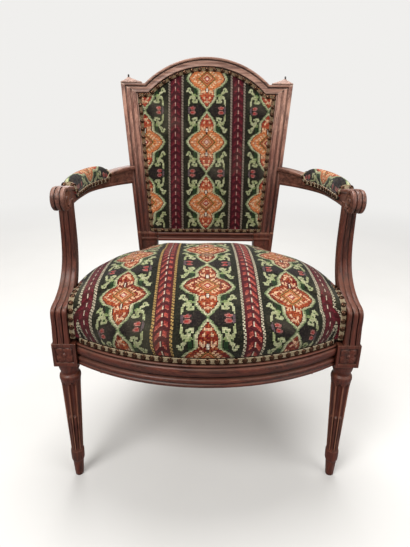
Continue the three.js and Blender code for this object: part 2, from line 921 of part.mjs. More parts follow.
// Lower back rail, let into the plinths
function back_tenon(from_u, v0, v1, grow) {
  const middle_n = -back_thickness / 2;
  const half = tenon_thickness / 2 + grow;
  const points = [
    [from_u - fit_gap - overrun, v0 - grow],
    [from_u + short_tenon + grow, v0 - grow],
    [from_u + short_tenon + grow, v1 + grow],
    [from_u - fit_gap - overrun, v1 + grow],
  ];
  return back_plate(points, middle_n - half, middle_n + half);
}

function lower_back_tenon(grow) {
  return back_tenon(plinth_inner, lower_rail_bottom_v + lower_tenon_edge, lower_rail_top_v - lower_tenon_edge, grow);
}

function make_lower_back_rail() {
  const half = plinth_inner - fit_gap;
  const rectangle = (v0, v1) => [
    [-half, v0],
    [half, v0],
    [half, v1],
    [-half, v1],
  ];
  const bead = (lower_rail_top_v - lower_rail_bottom_v) / 3;
  const parts = [
    back_plate(rectangle(lower_rail_bottom_v, lower_rail_top_v), -back_thickness, -groove_depth),
    back_plate(rectangle(lower_rail_bottom_v, lower_rail_bottom_v + bead), -groove_depth - sunk, 0),
    back_plate(rectangle(lower_rail_top_v - bead, lower_rail_top_v), -groove_depth - sunk, 0),
    back_plate(
      rectangle(lower_rail_top_v - sunk, lower_rail_top_v + back_rebate_width),
      -back_thickness,
      -back_rebate_depth,
    ),
    lower_back_tenon(0),
    mirrored(lower_back_tenon(0)),
  ];
  const stile_room = stile_body(fit_gap);
  add("lower_back_rail", geometry_of(cut(join(parts), [stile_room, mirrored(stile_room)])), wood);
}

// The plain outside of an upright, for cutting its neighbours
function stile_body(grow) {
  return stile_strip(0, rebate_share, lower_rail_top_v, shoulder_v + overrun, -back_thickness, 0, grow);
}

// Crest rail: everything on it is drawn at a distance below its arched top edge
const arch_middle_v = shoulder_v + crest_rise - arch_radius;

function crest_edge(below) {
  const radius = arch_radius - below;
  const shoulder = shoulder_v - below;
  const reach = Math.sqrt(radius ** 2 - (shoulder - arch_middle_v) ** 2);
  const spread = Math.asin(reach / radius);
  const points = [];
  for (let i = 0; i <= arch_steps; i++) {
    const angle = spread * ((2 * i) / arch_steps - 1);
    points.push([radius * Math.sin(angle), arch_middle_v + radius * Math.cos(angle)]);
  }
  return points;
}

function crest_band(from, to, n0, n1) {
  const reach = stile_outer(shoulder_v);
  const upper = crest_edge(from);
  const lower = crest_edge(to);
  const points = [
    [-reach, shoulder_v - from],
    ...upper,
    [reach, shoulder_v - from],
    [reach, shoulder_v - to],
    ...lower.reverse(),
    [-reach, shoulder_v - to],
  ];
  return back_plate(points.reverse(), n0, n1);
}

const crest_tenon_v = shoulder_v - crest_face;

function crest_tenon(grow) {
  const from_u = stile_outer(crest_tenon_v) - rebate_share * stile_face(crest_tenon_v);
  const half = crest_face / 2 - crest_tenon_edge;
  return back_tenon(from_u, crest_tenon_v - half / 2, crest_tenon_v + half, grow);
}

function make_crest_rail() {
  const ground = -groove_depth;
  const parts = [
    crest_band(0, crest_face + back_rebate_width, -back_thickness, -back_rebate_depth),
    crest_band(0, crest_face, -back_rebate_depth - sunk, ground),
    ...crest_bead_shares.map(([from, to]) => crest_band(from * crest_face, to * crest_face, ground - sunk, 0)),
  ];
  const ends_room = join([stile_body(fit_gap), cap_room(fit_gap)]);
  const trimmed = cut(join(parts), [ends_room, mirrored(ends_room)]);
  const middle = trimmed.decompose().sort((a, b) => b.volume() - a.volume())[0];
  add("crest_rail", geometry_of(join([middle, crest_tenon(0), mirrored(crest_tenon(0))])), wood);
}

// Shoulder caps on the uprights, each with the steel pin of its lost finial
const cap_outer = stile_outer(shoulder_v);
const cap_inner = cap_outer - rebate_share * stile_face(shoulder_v);
const cap_apex = cap_inner + cap_apex_share * (cap_outer - cap_inner);
const cap_foot_v = shoulder_v + fit_gap;

function cap_room(grow) {
  const points = [
    [cap_inner - grow, shoulder_v],
    [cap_outer + grow, shoulder_v],
    [cap_outer + grow, cap_foot_v + cap_height + grow],
    [cap_inner - grow, cap_foot_v + cap_height + grow],
  ];
  return back_plate(points, -back_thickness - grow, grow);
}

function pin_rod(grow) {
  const n = -back_thickness / 2;
  const from = on_back(cap_apex, cap_foot_v - pin_depth - grow, n);
  const to = on_back(cap_apex, cap_foot_v + cap_height + pin_rise, n);
  return solid(rod(from, to, pin_radius + grow, facets));
}

function make_shoulder_caps() {
  const ring = (inner, outer, v, n0, n1) => [
    on_back(inner, v, n0),
    on_back(outer, v, n0),
    on_back(outer, v, n1),
    on_back(inner, v, n1),
  ];
  const middle = -back_thickness / 2;
  const rings = [
    ring(cap_inner, cap_outer, cap_foot_v, -back_thickness, 0),
    ring(cap_inner, cap_outer, cap_foot_v + cap_edge, -back_thickness, 0),
    ring(cap_apex - cap_tip, cap_apex + cap_tip, cap_foot_v + cap_height, middle - cap_tip, middle + cap_tip),
  ];
  const outline = [
    [0, 0],
    [1, 0],
    [1, 1],
    [0, 1],
  ];
  add_pair("shoulder_cap", geometry_of(cut(solid(loft(rings, outline)), [pin_rod(fit_gap)])), wood);
  add_pair("finial_pin", geometry_of(pin_rod(0)), steel);
}

// Arms
const arm_end_front_share = (y) => (y - scroll_y) / (arm_end_y - scroll_y);
const arm_curve = new THREE.CatmullRomCurve3(
  [
    new THREE.Vector3(arm_front_x, scroll_y, 0),
    ...arm_plan_shares.map(
      ([across, along]) =>
        new THREE.Vector3(
          arm_end_x + across * (arm_bow_x - arm_end_x),
          scroll_y + along * (arm_end_y - scroll_y),
          0,
        ),
    ),
    new THREE.Vector3(arm_end_x, arm_end_y, 0),
  ],
  false,
  "centripetal",
);

// The arm's frame at a depth along the chair: its middle in plan and the direction outwards across it
const arm_table = Array.from({ length: arm_table_steps + 1 }, (_, i) => {
  const t = i / arm_table_steps;
  return { point: arm_curve.getPoint(t), tangent: arm_curve.getTangent(t) };
});

function arm_place(y) {
  const i = Math.min(arm_table.findIndex((row) => row.point.y >= y - weld), arm_table.length - 1);
  const row = arm_table[i < 0 ? arm_table.length - 1 : i];
  return { x: row.point.x, y: row.point.y, out: new THREE.Vector3(row.tangent.y, -row.tangent.x, 0) };
}

function smooth(share) {
  const s = Math.min(1, Math.max(0, share));
  return s * s * (3 - 2 * s);
}

function arm_bottom_z(y) {
  return arm_under_front + (arm_under - arm_under_front) * smooth(arm_end_front_share(y));
}

function arm_top_z(y) {
  const share = arm_end_front_share(y);
  const front = scroll_z + scroll_radius;
  if (y < pad_back_y) {
    return front + (arm_top_middle - front) * smooth((y - scroll_y) / arm_fall);
  }
  return arm_top_middle + (arm_top_end - arm_top_middle) * smooth((share - arm_level_share) / (1 - arm_level_share));
}

function arm_section(half, z0, z1) {
  const c = arm_chamfer;
  return [
    [-half + c, z0],
    [half - c, z0],
    [half, z0 + c],
    [half, z1 - c],
    [half - c, z1],
    [-half + c, z1],
    [-half, z1 - c],
    [-half, z0 + c],
  ];
}

function arm_ring(y, narrow, drop, grow) {
  const { x, y: depth, out } = arm_place(y);
  const section = arm_section(arm_width / 2 - narrow + grow, arm_bottom_z(y) - grow, arm_top_z(y) - drop + grow);
  return section.map(([across, z]) => new THREE.Vector3(x + out.x * across, depth + out.y * across, z));
}

function arm_body(grow) {
  const rings = [];
  const outline = arm_section(arm_width / 2, 0, arm_width);
  const even_shares = (steps) => Array.from({ length: steps + 1 }, (_, i) => i / steps);
  const run = (from, to, shares, narrow, drop) => {
    for (const share of shares) {
      rings.push(arm_ring(from + (to - from) * share, narrow, drop, grow));
    }
  };
  run(scroll_y, pad_front_y - weld, even_shares(arm_scroll_steps), 0, 0);
  run(pad_front_y + fit_gap, pad_back_y - fit_gap, pad_station_shares, pad_side_rebate, pad_seat_drop);
  run(pad_back_y + weld, arm_end_y, even_shares(arm_end_steps), 0, 0);
  return join([solid(loft(rings, outline)), scroll(grow)]);
}

// Turned profile of the roll: along its axis as a share of its half width
const rib_shares = [-1, -0.9, -0.42, -0.34, -0.26, 0.26, 0.34, 0.42, 0.9, 1];

// The ribbed roll at the arm's front, turned about an axis across the chair
function scroll(grow) {
  const half = scroll_width / 2 + grow;
  const radius = scroll_radius + grow;
  const low = radius - scroll_groove;
  const rib_heights = [low, radius, radius, low, radius, radius, low, radius, radius, low];
  const points = [new THREE.Vector2(0, -half)];
  rib_shares.forEach((share, i) => points.push(new THREE.Vector2(rib_heights[i], share * half)));
  points.push(new THREE.Vector2(0, half));
  const roll = new THREE.LatheGeometry(points, scroll_sides).rotateZ(-Math.PI / 2);
  return solid(roll.translate(arm_front_x, scroll_y, scroll_z));
}

function arm_tenon(grow) {
  const y = back_y + (arm_tenon_z - back_z) * Math.tan(recline) + back_thickness / 2;
  const outer = stile_outer(rail_top_v(arm_tenon_z));
  const from = new THREE.Vector3(outer + overrun, y - overrun, arm_tenon_z);
  const to = new THREE.Vector3(outer - short_tenon - grow, y + overrun, arm_tenon_z);
  return solid(rod(from, to, arm_tenon_radius + grow, facets));
}

const support_top_share = (support_front_shares.at(-1)[0] + support_rear_shares.at(-1)[0]) / 2;
const support_middle_y = -block_half + support_sweep * support_top_share;

function top_dowel(grow) {
  const z = arm_under_front;
  const from = new THREE.Vector3(support_top_x, support_middle_y, z - support_tenon_length - fit_gap);
  const to = new THREE.Vector3(support_top_x, support_middle_y, z + support_tenon_length + grow);
  return solid(rod(from, to, dowel_radius + grow, facets));
}

function make_arms() {
  const body = cut(arm_body(0), [stile_body(fit_gap), top_dowel(fit_gap)]);
  const kept = body.decompose().sort((a, b) => b.volume() - a.volume())[0];
  add_pair("arm", geometry_of(join([kept, arm_tenon(0)])), wood);
}

// Arm supports
function support_tenon(grow) {
  const y = -block_half + support_sweep * (support_rear_shares[0][0] / 2);
  const from = new THREE.Vector3(support_bottom_x, y, block_top + overrun);
  const to = new THREE.Vector3(support_bottom_x, y, block_top - support_tenon_length - grow);
  return solid(rod(from, to, support_tenon_radius + grow, facets));
}

function support_form(section, grow) {
  const foot = block_top + fit_gap;
  const at = ([along, up]) => new THREE.Vector2(-block_half + along * support_sweep, foot + up * support_rise);
  const spare = new THREE.Vector2(grow, -grow);
  const rings = support_front_shares.map((front_share, i) => {
    const front = at(front_share).sub(spare);
    const rear = at(support_rear_shares[i]).add(spare);
    return section.map(([across, depth]) => {
      const place = front.clone().lerp(rear, depth);
      const up = (place.y - foot) / support_rise;
      const half = (support_bottom_width + (support_top_width - support_bottom_width) * up) / 2 + grow;
      const middle = support_bottom_x + (support_top_x - support_bottom_x) * up;
      return new THREE.Vector3(middle + across * half, place.x, place.y);
    });
  });
  return solid(loft(rings, section));
}

// The support without its reeds, to make room for it in the seat
function support_hull(grow) {
  const section = [
    [-1, 0],
    [1, 0],
    [1, 1],
    [-1, 1],
  ];
  const foot = block_top + fit_gap;
  const half = support_bottom_width / 2 + grow;
  const depth = (support_rear_shares[0][0] * support_sweep) / 2;
  const middle_y = depth - block_half;
  const [x, y, reach] = [support_bottom_x, middle_y, depth + grow];
  const base = box(x - half, x + half, y - reach, y + reach, block_top - sunk, foot + overrun);
  return join([base, support_form(section, grow)]);
}

function make_arm_supports() {
  const body = cut(support_form(reed_shares, 0), [arm_body(fit_gap)]);
  const kept = body.decompose().sort((a, b) => b.volume() - a.volume())[0];
  add_pair("arm_support", geometry_of(join([kept, support_tenon(0), top_dowel(0)])), wood);
}

// Webbing under the rails: straps front to back, and straps across below them
function make_webbing() {
  const top = rail_bottom - fit_gap;
  const half = strap_width / 2;
  long_straps_front.forEach((x, i) => {
    const front_y = front_point(x, rail_thickness / 2)[1];
    const rear_x = x * long_straps_rear_share;
    const rear_half = half * long_straps_rear_share * 2;
    const points = [
      [x - half, front_y],
      [x + half, front_y],
      [rear_x + Math.min(half, rear_half), rear_rail_y],
      [rear_x - Math.min(half, rear_half), rear_rail_y],
    ];
    add("long_webbing_" + (i + 1), geometry_of(plate(points, top - strap_thickness, top)), jute);
  });
  const lower = top - strap_thickness - fit_gap;
  cross_straps_y.forEach((y, i) => {
    const front_x = side_point(y - half, rail_thickness / 2)[0];
    const rear_x = side_point(y + half, rail_thickness / 2)[0];
    const points = [
      [-front_x, y - half],
      [front_x, y - half],
      [rear_x, y + half],
      [-rear_x, y + half],
    ];
    add("cross_webbing_" + (i + 1), geometry_of(plate(points, lower - strap_thickness, lower)), jute);
  });
}

// Seat springs: one unbroken wire each, wide at both ends and drawn in at the waist
class SpringCurve extends THREE.Curve {
  constructor(x, y, z) {
    super();
    this.foot = new THREE.Vector3(x, y, z);
  }
  getPoint(t) {
    const angle = t * spring_turns * 2 * Math.PI;
    const waist = Math.sin(t * Math.PI);
    const radius = spring_end_radius + (spring_waist_radius - spring_end_radius) * waist;
    const flat = new THREE.Vector3(Math.cos(angle) * radius, Math.sin(angle) * radius, t * spring_height);
    return flat.add(this.foot);
  }
}

function make_springs() {
  const foot = rail_bottom + fit_gap + spring_wire;
  spring_places.forEach(([x, y], i) => {
    const rings = [];
    const curve = new SpringCurve(x, y, foot);
    const steps = spring_turns * spring_turn_steps;
    const section = Array.from({ length: spring_wire_sides }, (_, k) => {
      const angle = (k * 2 * Math.PI) / spring_wire_sides;
      return [Math.cos(angle) * spring_wire, Math.sin(angle) * spring_wire];
    });
    for (let s = 0; s <= steps; s++) {
      const middle = curve.getPoint(s / steps);
      const out = new THREE.Vector3(middle.x - x, middle.y - y, 0).normalize();
      rings.push(section.map(([a, b]) => middle.clone().addScaledVector(out, a).setZ(middle.z + b)));
    }
    add("seat_spring_" + (i + 1), loft(rings, section), steel);
  });
  const curve = new SpringCurve(0, 0, foot);
  const points = curve.getPoints(spring_turns * spring_turn_steps);
  let least = Infinity;
  points.forEach((point, i) => {
    for (const other of points.slice(i + spring_turn_steps - 1)) {
      least = Math.min(least, point.distanceTo(other) - spring_wire * 2);
    }
  });
  console.log("least gap between a spring's turns " + least.toFixed(2));
}

// Outline of the seat at its tacking edge, anticlockwise from the front's middle, with its corners
// drawn round the arm supports
function seat_outline() {
  const corner = seat_corner_shares.map(([across, depth]) => [
    rail_end_x + across * block_width,
    -block_half + depth * block_width,
  ]);
  const stations = rail_stations(0, front_rail_reach);
  const front = stations.filter((x) => x > 0 && x < lip_reach).map((x) => front_point(x, rebate_depth));
  const rail_end = new THREE.Vector2(...front_point(stations[rail_steps], rebate_depth));
  const before = new THREE.Vector2(...front[front.length - 1]);
  const lip_share = (lip_reach - before.x) / (rail_end.x - before.x);
  const side = rail_stations(side_rail_from, side_rail_to).filter((y) => y > 0 && y < lip_rear);
  const rear_y = rear_rail_y + rail_thickness / 2 - rebate_depth;
  const right = [
    ...front,
    before.lerp(rail_end, lip_share).toArray(),
    ...corner,
    ...side.map((y) => side_point(y, rebate_depth)),
    side_point(lip_rear, rebate_depth),
    [lip_rear_reach, rear_y],
    [lip_rear_reach / 3, rear_y],
  ];
  const left = right.map(([x, y]) => [-x, y]).reverse();
  return [front_point(0, rebate_depth), ...right, ...left];
}

// How the seat's form faces at one point of its outline: fully sideways is 1
function seat_form(x, y) {
  const away = new THREE.Vector2(x, y - seat_middle_y).normalize();
  const side = Math.abs(away.x) ** seat_turn;
  const end = away.y < 0 ? seat_front : seat_rear;
  const mix = (key) => end[key] + (seat_side[key] - end[key]) * side;
  return { height: mix("height"), power: mix("power") };
}

// Moves a plan outline straight away from the seat's middle
function spread(points, distance) {
  return points.map(([x, y]) => {
    const away = new THREE.Vector2(x, y - seat_middle_y).setLength(distance);
    return [x + away.x, y + away.y];
  });
}

// A layer of the seat from its tacking edge up and in, set in by a distance from the stuffing's own face
function seat_rings(inset) {
  const outline = seat_outline();
  const forms = outline.map(([x, y]) => seat_form(x, y));
  const rings = seat_wall_shares.map(([outwards, up]) =>
    spread(outline, outwards * seat_bulge - inset).map(
      ([x, y], i) => new THREE.Vector3(x, y, tack_top + (forms[i].height - inset) * up),
    ),
  );
  const rim = rings[rings.length - 1];
  for (const share of seat_dome_shares) {
    rings.push(
      rim.map((p, i) => {
        const rise = (seat_crown - forms[i].height) * (1 - share ** forms[i].power);
        const y = seat_middle_y + (p.y - seat_middle_y) * share;
        return new THREE.Vector3(p.x * share, y, p.z + rise);
      }),
    );
  }
  return { rings, middle: new THREE.Vector3(0, seat_middle_y, tack_top + seat_crown - inset) };
}

// The seat's whole form down to a flat underside
function seat_mass(inset, underside) {
  const top = seat_rings(inset);
  const foot = top.rings[0].map((p) => p.clone().setZ(underside));
  return solid(between_layers(top, { rings: [foot], middle: new THREE.Vector3(0, seat_middle_y, underside) }));
}

function seat_dome(offset, foot, rise) {
  const edge = spread(seat_outline(), offset);
  const rings = hessian_ring_shares.map((share) => {
    const z = foot + rise * (1 - share ** 2);
    return edge.map(([x, y]) => new THREE.Vector3(x * share, seat_middle_y + (y - seat_middle_y) * share, z));
  });
  return { rings, middle: new THREE.Vector3(0, seat_middle_y, foot + rise) };
}

// The posts that stand in the seat's corners, with some room round them
function post_room(grow) {
  const front = [block_box(grow), support_hull(grow)];
  const plinth = back_plate(
    grown(plinth_outline(), grow),
    -plinth_thickness - grow,
    grow,
  );
  const room = join([...front, rear_block_box(grow), plinth]);
  return join([room, mirrored(room)]);
}

function make_seat_upholstery() {
  const skin = fit_gap + cloth;
  const under = tack_top + fit_gap;
  const raised = under + hessian_thickness;
  const hessian_low = seat_dome(-fit_gap, under, hessian_crown);
  const hessian_top = seat_dome(-fit_gap, raised, hessian_crown);
  const inner_room = post_room(fit_gap * 2 + cloth);
  const hessian = solid(between_layers(hessian_top, hessian_low));
  add("seat_hessian", geometry_of(hessian.subtract(inner_room)), linen);
  const fill_low = seat_dome(0, raised + fit_gap, hessian_crown);
  const fill_top = seat_rings(0);
  for (const p of fill_top.rings[0]) {
    p.z = raised + fit_gap * 2;
  }
  const fill = solid(between_layers(fill_top, fill_low));
  add("seat_stuffing", geometry_of(fill.subtract(inner_room)), horsehair);
  const outer = seat_mass(-skin, rail_top + fit_gap).subtract(post_room(fit_gap));
  const inner = seat_mass(-fit_gap, rail_top - overrun).subtract(post_room(skin));
  add("seat_cover", geometry_of(outer.subtract(inner)), tapestry);
}

// Stations of a strip that stands on edge along a plan line, facing out from the seat's middle
function standing_stations(points, z) {
  return points.map(([x, y], i) => {
    const [ax, ay] = points[Math.max(0, i - 1)];
    const [bx, by] = points[Math.min(points.length - 1, i + 1)];
    const normal = new THREE.Vector3(by - ay, ax - bx, 0).normalize();
    return { point: new THREE.Vector3(x, y, z), normal, across: new THREE.Vector3(0, 0, 1) };
  });
}

// The braid climbs the seat's corner beside the arm support, on the ring points over one corner point
function corner_stations() {
  const { rings } = seat_rings(-fit_gap * 2 - cloth);
  const outline = seat_outline();
  const corner_x = rail_end_x + seat_corner_shares[0][0] * block_width;
  const column = outline.findIndex(([x]) => Math.abs(x - corner_x) < weld);
  const points = rings.slice(0, seat_wall_shares.length).map((ring) => ring[column].clone().setX(corner_x));
  const lowest = points[0].clone().setZ(rail_top + braid_width);
  const line = [lowest, ...points];
  const across = new THREE.Vector3(1, 0, 0);
  return line.map((point, i) => {
    const before = line[Math.max(0, i - 1)];
    const after = line[Math.min(line.length - 1, i + 1)];
    const normal = new THREE.Vector3().subVectors(after, before).cross(across).normalize();
    return { point: point.clone().addScaledVector(normal, -fit_gap), normal: normal.negate(), across };
  });
}

function make_seat_braids() {
  const z = rail_top + braid_width / 2 + fit_gap;
  const behind = rebate_depth - fit_gap * 3 - cloth;
  const reach = lip_reach - fit_gap;
  const right = [...rail_stations(0, front_rail_reach).filter((x) => x > 0 && x < reach), reach];
  const front = [...right.map((x) => -x).reverse(), 0, ...right].map((x) => front_point(x, behind));
  add("seat_front_braid", nailed(standing_stations(front, z), seat_nail_pitch, false), galon);
  const [from, to] = [block_half + nail_radius, rear_block_front - nail_radius];
  const inner = rail_stations(side_rail_from, side_rail_to).filter((y) => y > from && y < to);
  const side = [from, ...inner, to].map((y) => side_point(y, behind));
  add_pair("seat_side_braid", nailed(standing_stations(side, z), seat_nail_pitch, false), galon);
  const strip = solid(nailed(corner_stations(), seat_nail_pitch, false));
  const clear_of = seat_mass(-fit_gap * 2 - cloth, rail_top);
  add_pair("seat_corner_braid", geometry_of(strip.subtract(clear_of)), galon);
  const rear_y = rear_rail_y + rail_thickness / 2 - behind;
  const rear_reach = plinth_inner - nail_radius;
  const rear = [
    [rear_reach, rear_y],
    [-rear_reach, rear_y],
  ];
  add("seat_rear_braid", nailed(standing_stations(rear, z), seat_nail_pitch, false), galon);
}

// Outline of the back's covered field inside the moulded face, anticlockwise from the lower left
function field_outline(inset) {
  const top_v = shoulder_v - crest_face - inset;
  const low_v = lower_rail_top_v + inset;
  const edge = (v) => stile_outer(v) - stile_face(v) - inset;
  const right = [];
  for (let i = 0; i <= field_steps; i++) {
    const v = low_v + ((top_v - low_v) * i) / field_steps;
    right.push([edge(v), v]);
  }
  const arch = crest_edge(crest_face + inset).reverse();
  const left = right.map(([x, v]) => [-x, v]).reverse();
  const half = edge(low_v) / 2;
  return [...right, ...arch, ...left, [-half, low_v], [half, low_v]];
}

function back_layer(insets, foot, rise, inner_inset) {
  const rings = insets.map((inset) => field_outline(inset).map(([u, v]) => on_back(u, v, foot)));
  const edge = field_outline(inner_inset);
  for (const share of back_ring_shares.slice(1)) {
    const n = foot + rise * (1 - share ** back_power);
    rings.push(edge.map(([u, v]) => on_back(u * share, back_middle_v + (v - back_middle_v) * share, n)));
  }
  return { rings, middle: on_back(0, back_middle_v, foot + rise) };
}

const canvas_top = -back_rebate_depth + fit_gap + hessian_thickness;
const cover_low = canvas_top + fit_gap;
const cover_top = cover_low + cloth;

function make_back_upholstery() {
  add(
    "back_canvas",
    geometry_of(back_plate(field_outline(fit_gap * 2), -back_rebate_depth + fit_gap, canvas_top)),
    linen,
  );
  const inner_edge = back_margin + fit_gap;
  const fill_inset = inner_edge + cloth * 2;
  const fill_foot = canvas_top + fit_gap;
  const fill_top = back_layer([fill_inset], fill_foot + fit_gap, back_crown - cloth - fit_gap * 2, fill_inset);
  const floor_ring = field_outline(fill_inset).map(([u, v]) => on_back(u, v, fill_foot));
  const fill_low = { rings: [floor_ring], middle: on_back(0, back_middle_v, fill_foot) };
  add("back_stuffing", between_layers(fill_top, fill_low), horsehair);
  const outer = back_layer([fit_gap * 2, back_margin], cover_top, back_crown - cloth, back_margin);
  const inner = back_layer([fit_gap * 2, inner_edge], cover_low, back_crown - cloth, inner_edge);
  add("back_cover", between_layers(outer, inner), tapestry);
  add("back_braid", nailed(field_stations(1), back_nail_pitch, true), galon);
  const behind = -back_thickness - fit_gap;
  add("outside_back_cover", geometry_of(back_plate(field_outline(fit_gap), behind - cloth, behind)), plain_cloth);
  add("outside_back_braid", geometry_of(braid(field_stations(-1), true)), galon);
}

// Stations along the edge of the field, on the back's front or on its rear
function field_stations(facing) {
  const inset = facing > 0 ? fit_gap * 2 + braid_width / 2 : braid_width / 2;
  const points = field_outline(inset);
  const n = facing > 0 ? cover_top + fit_gap : -back_thickness - cloth - fit_gap * 2;
  const origin = on_back(0, 0, 0);
  const normal = on_back(0, 0, facing).sub(origin);
  return points.map(([u, v], i) => {
    const before = points[(i + points.length - 1) % points.length];
    const after = points[(i + 1) % points.length];
    const run_in = new THREE.Vector2(u - before[0], v - before[1]).normalize();
    const run_out = new THREE.Vector2(after[0] - u, after[1] - v).normalize();
    const run = run_in.clone().add(run_out).normalize();
    const stretch = 1 / Math.max(1 / 2, run.dot(run_in));
    const across = on_back(run.y * stretch, -run.x * stretch, 0).sub(origin);
    return { point: on_back(u, v, n), normal, across };
  });
}

// Arm pads: a stuffed roll on the wood, and a cover that comes down both sides of the arm
function pad_crown_at(share) {
  return pad_crown * Math.sqrt(Math.max(0, 1 - (2 * share - 1) ** pad_end_power));
}

const pad_wood_half = arm_width / 2 - pad_side_rebate;

function pad_top_line(y, share, half, lift, least) {
  const { x, y: depth, out } = arm_place(y);
  const wood_top = arm_top_z(y) - pad_seat_drop;
  const height = Math.max(least, pad_crown_at(share) + lift);
  return pad_over_shares.map(
    ([across, up]) =>
      new THREE.Vector3(x + out.x * across * half, depth + out.y * across * half, wood_top + fit_gap + up * height),
  );
}

function pad_skirt_point(y, side, half, z) {
  const { x, y: depth, out } = arm_place(y);
  return new THREE.Vector3(x + out.x * side * half, depth + out.y * side * half, z);
}

function make_arm_pads() {
  const fill_rings = [];
  const cover_rings = [];
  const [from, to] = [pad_front_y + fit_gap * 3, pad_back_y - fit_gap * 3];
  for (const share of pad_station_shares) {
    const y = from + (to - from) * share;
    fill_rings.push(pad_top_line(y, share, pad_wood_half, 0, pad_edge).reverse());
    const inner_half = pad_wood_half + fit_gap;
    const outer_half = inner_half + cloth;
    const skirt_z = arm_top_z(y) - pad_seat_drop - pad_skirt;
    const inner = pad_top_line(y, share, inner_half, fit_gap, pad_edge + fit_gap);
    const outer = pad_top_line(y, share, outer_half, fit_gap + cloth, pad_edge + fit_gap + cloth);
    cover_rings.push([
      pad_skirt_point(y, -1, outer_half, skirt_z),
      ...outer,
      pad_skirt_point(y, 1, outer_half, skirt_z),
      pad_skirt_point(y, 1, inner_half, skirt_z),
      ...inner.reverse(),
      pad_skirt_point(y, -1, inner_half, skirt_z),
    ]);
  }
  const fill_outline = pad_over_shares.slice().reverse();
  add_pair("arm_pad_stuffing", loft(fill_rings, fill_outline), horsehair);
  const wall = cloth / pad_wood_half;
  const cover_outline = [
    [-1 - wall, -1],
    ...pad_over_shares.map(([across, up]) => [across * (1 + wall), up + wall]),
    [1 + wall, -1],
    [1, -1],
    ...pad_over_shares.slice().reverse().map(([across, up]) => [across, up]),
    [-1, -1],
  ];
  add_pair("arm_pad_cover", loft(cover_rings, cover_outline), tapestry);
  add_pair("arm_pad_braid", nailed(pad_stations(), arm_nail_pitch, false), galon);
}

// The braid of an arm pad runs along the inner side, where it shows
function pad_stations() {
  const half = pad_wood_half + fit_gap * 2 + cloth;
  const stations = [];
  for (const share of pad_station_shares) {
    const y = pad_front_y + nail_radius + (pad_back_y - pad_front_y - nail_radius * 2) * share;
    const { x, y: depth, out } = arm_place(y);
    const z = arm_top_z(y) - pad_seat_drop - pad_skirt + braid_width / 2;
    const point = new THREE.Vector3(x - out.x * half, depth - out.y * half, z);
    stations.push({ point, normal: out.clone().negate(), across: new THREE.Vector3(0, 0, 1) });
  }
  return stations;
}

make_front_legs();
make_seat_rails();
make_corner_blocks();
make_back_posts();
make_lower_back_rail();
make_crest_rail();
make_shoulder_caps();
make_arms();
make_arm_supports();
make_webbing();
make_springs();
make_seat_upholstery();
make_seat_braids();
make_back_upholstery();
make_arm_pads();

// The chair stands with the middle of its depth over the origin
const crest_rear = on_back(0, shoulder_v + crest_rise, -back_thickness);
chair.position.y = -(rail_front_y + crest_rear.y) / 2;

export default chair;
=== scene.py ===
"""A carved open armchair in needlepoint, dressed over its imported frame.

Lengths are millimetres from the front legs' axis, as in the part: X to the viewer's right, Y to the back and Z
up. place() turns them into the frame's metres.
"""

import functools
import math

import bmesh
import bpy
import numpy as np
from mathutils import Matrix, Vector
from mathutils.bvhtree import BVHTree


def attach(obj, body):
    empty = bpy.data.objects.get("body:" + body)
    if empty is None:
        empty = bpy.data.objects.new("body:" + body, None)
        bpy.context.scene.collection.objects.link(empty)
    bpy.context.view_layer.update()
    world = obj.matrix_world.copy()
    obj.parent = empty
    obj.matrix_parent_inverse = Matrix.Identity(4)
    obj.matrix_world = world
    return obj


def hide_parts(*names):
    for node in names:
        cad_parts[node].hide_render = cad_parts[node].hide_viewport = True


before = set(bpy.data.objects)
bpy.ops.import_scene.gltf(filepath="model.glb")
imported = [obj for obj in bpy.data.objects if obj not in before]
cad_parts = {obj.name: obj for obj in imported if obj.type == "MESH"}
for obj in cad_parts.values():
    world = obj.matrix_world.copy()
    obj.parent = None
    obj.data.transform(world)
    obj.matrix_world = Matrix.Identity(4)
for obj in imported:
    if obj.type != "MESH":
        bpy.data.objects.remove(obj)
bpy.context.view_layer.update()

MM = 0.001
fit_gap = 0.3

# Seat frame
rail_bottom, rail_height, rail_thickness = 288, 46, 28
rebate_depth, rebate_height = 9, 14
rail_top = rail_bottom + rail_height
tack_top = rail_top + rebate_height
bow_depth, rail_set_back, side_bow = 74, 7, 14
lip_end_gap, lip_side_gap = 10, 3

# Front legs
leg_spread, block_width = 269, 45
block_half = block_width / 2
block_bottom, block_top = 287, 336
leg_radius, leg_splay = 20.5, 6.6
rear_block_front, rear_block_depth, rear_leg_rake = 372, 42, 32
flute_count = 8
flute_foot_share, flute_head_share, cable_share = 0.25, 0.85, 0.56
flute_angle, flute_depth_share = 0.33, 0.34
turned_shares = [
    (0.4, 0), (0.44, 0.02), (0.54, 0.14), (0.61, 0.147), (0.66, 0.16), (0.67, 0.2), (0.675, 0.236), (0.62, 0.242),
    (0.615, 0.25), (0.94, 0.855), (0.96, 0.868), (1, 0.876), (1.01, 0.89), (0.97, 0.905), (0.8, 0.913),
    (0.77, 0.922), (0.82, 0.932), (0.93, 0.95), (0.99, 0.968), (0.99, 0.976), (1.02, 0.978), (1.02, 1),
]
panel_depth, panel_half, panel_slope, flower_half, boss_radius = 3.2, 17.4, 1.2, 16, 4.6

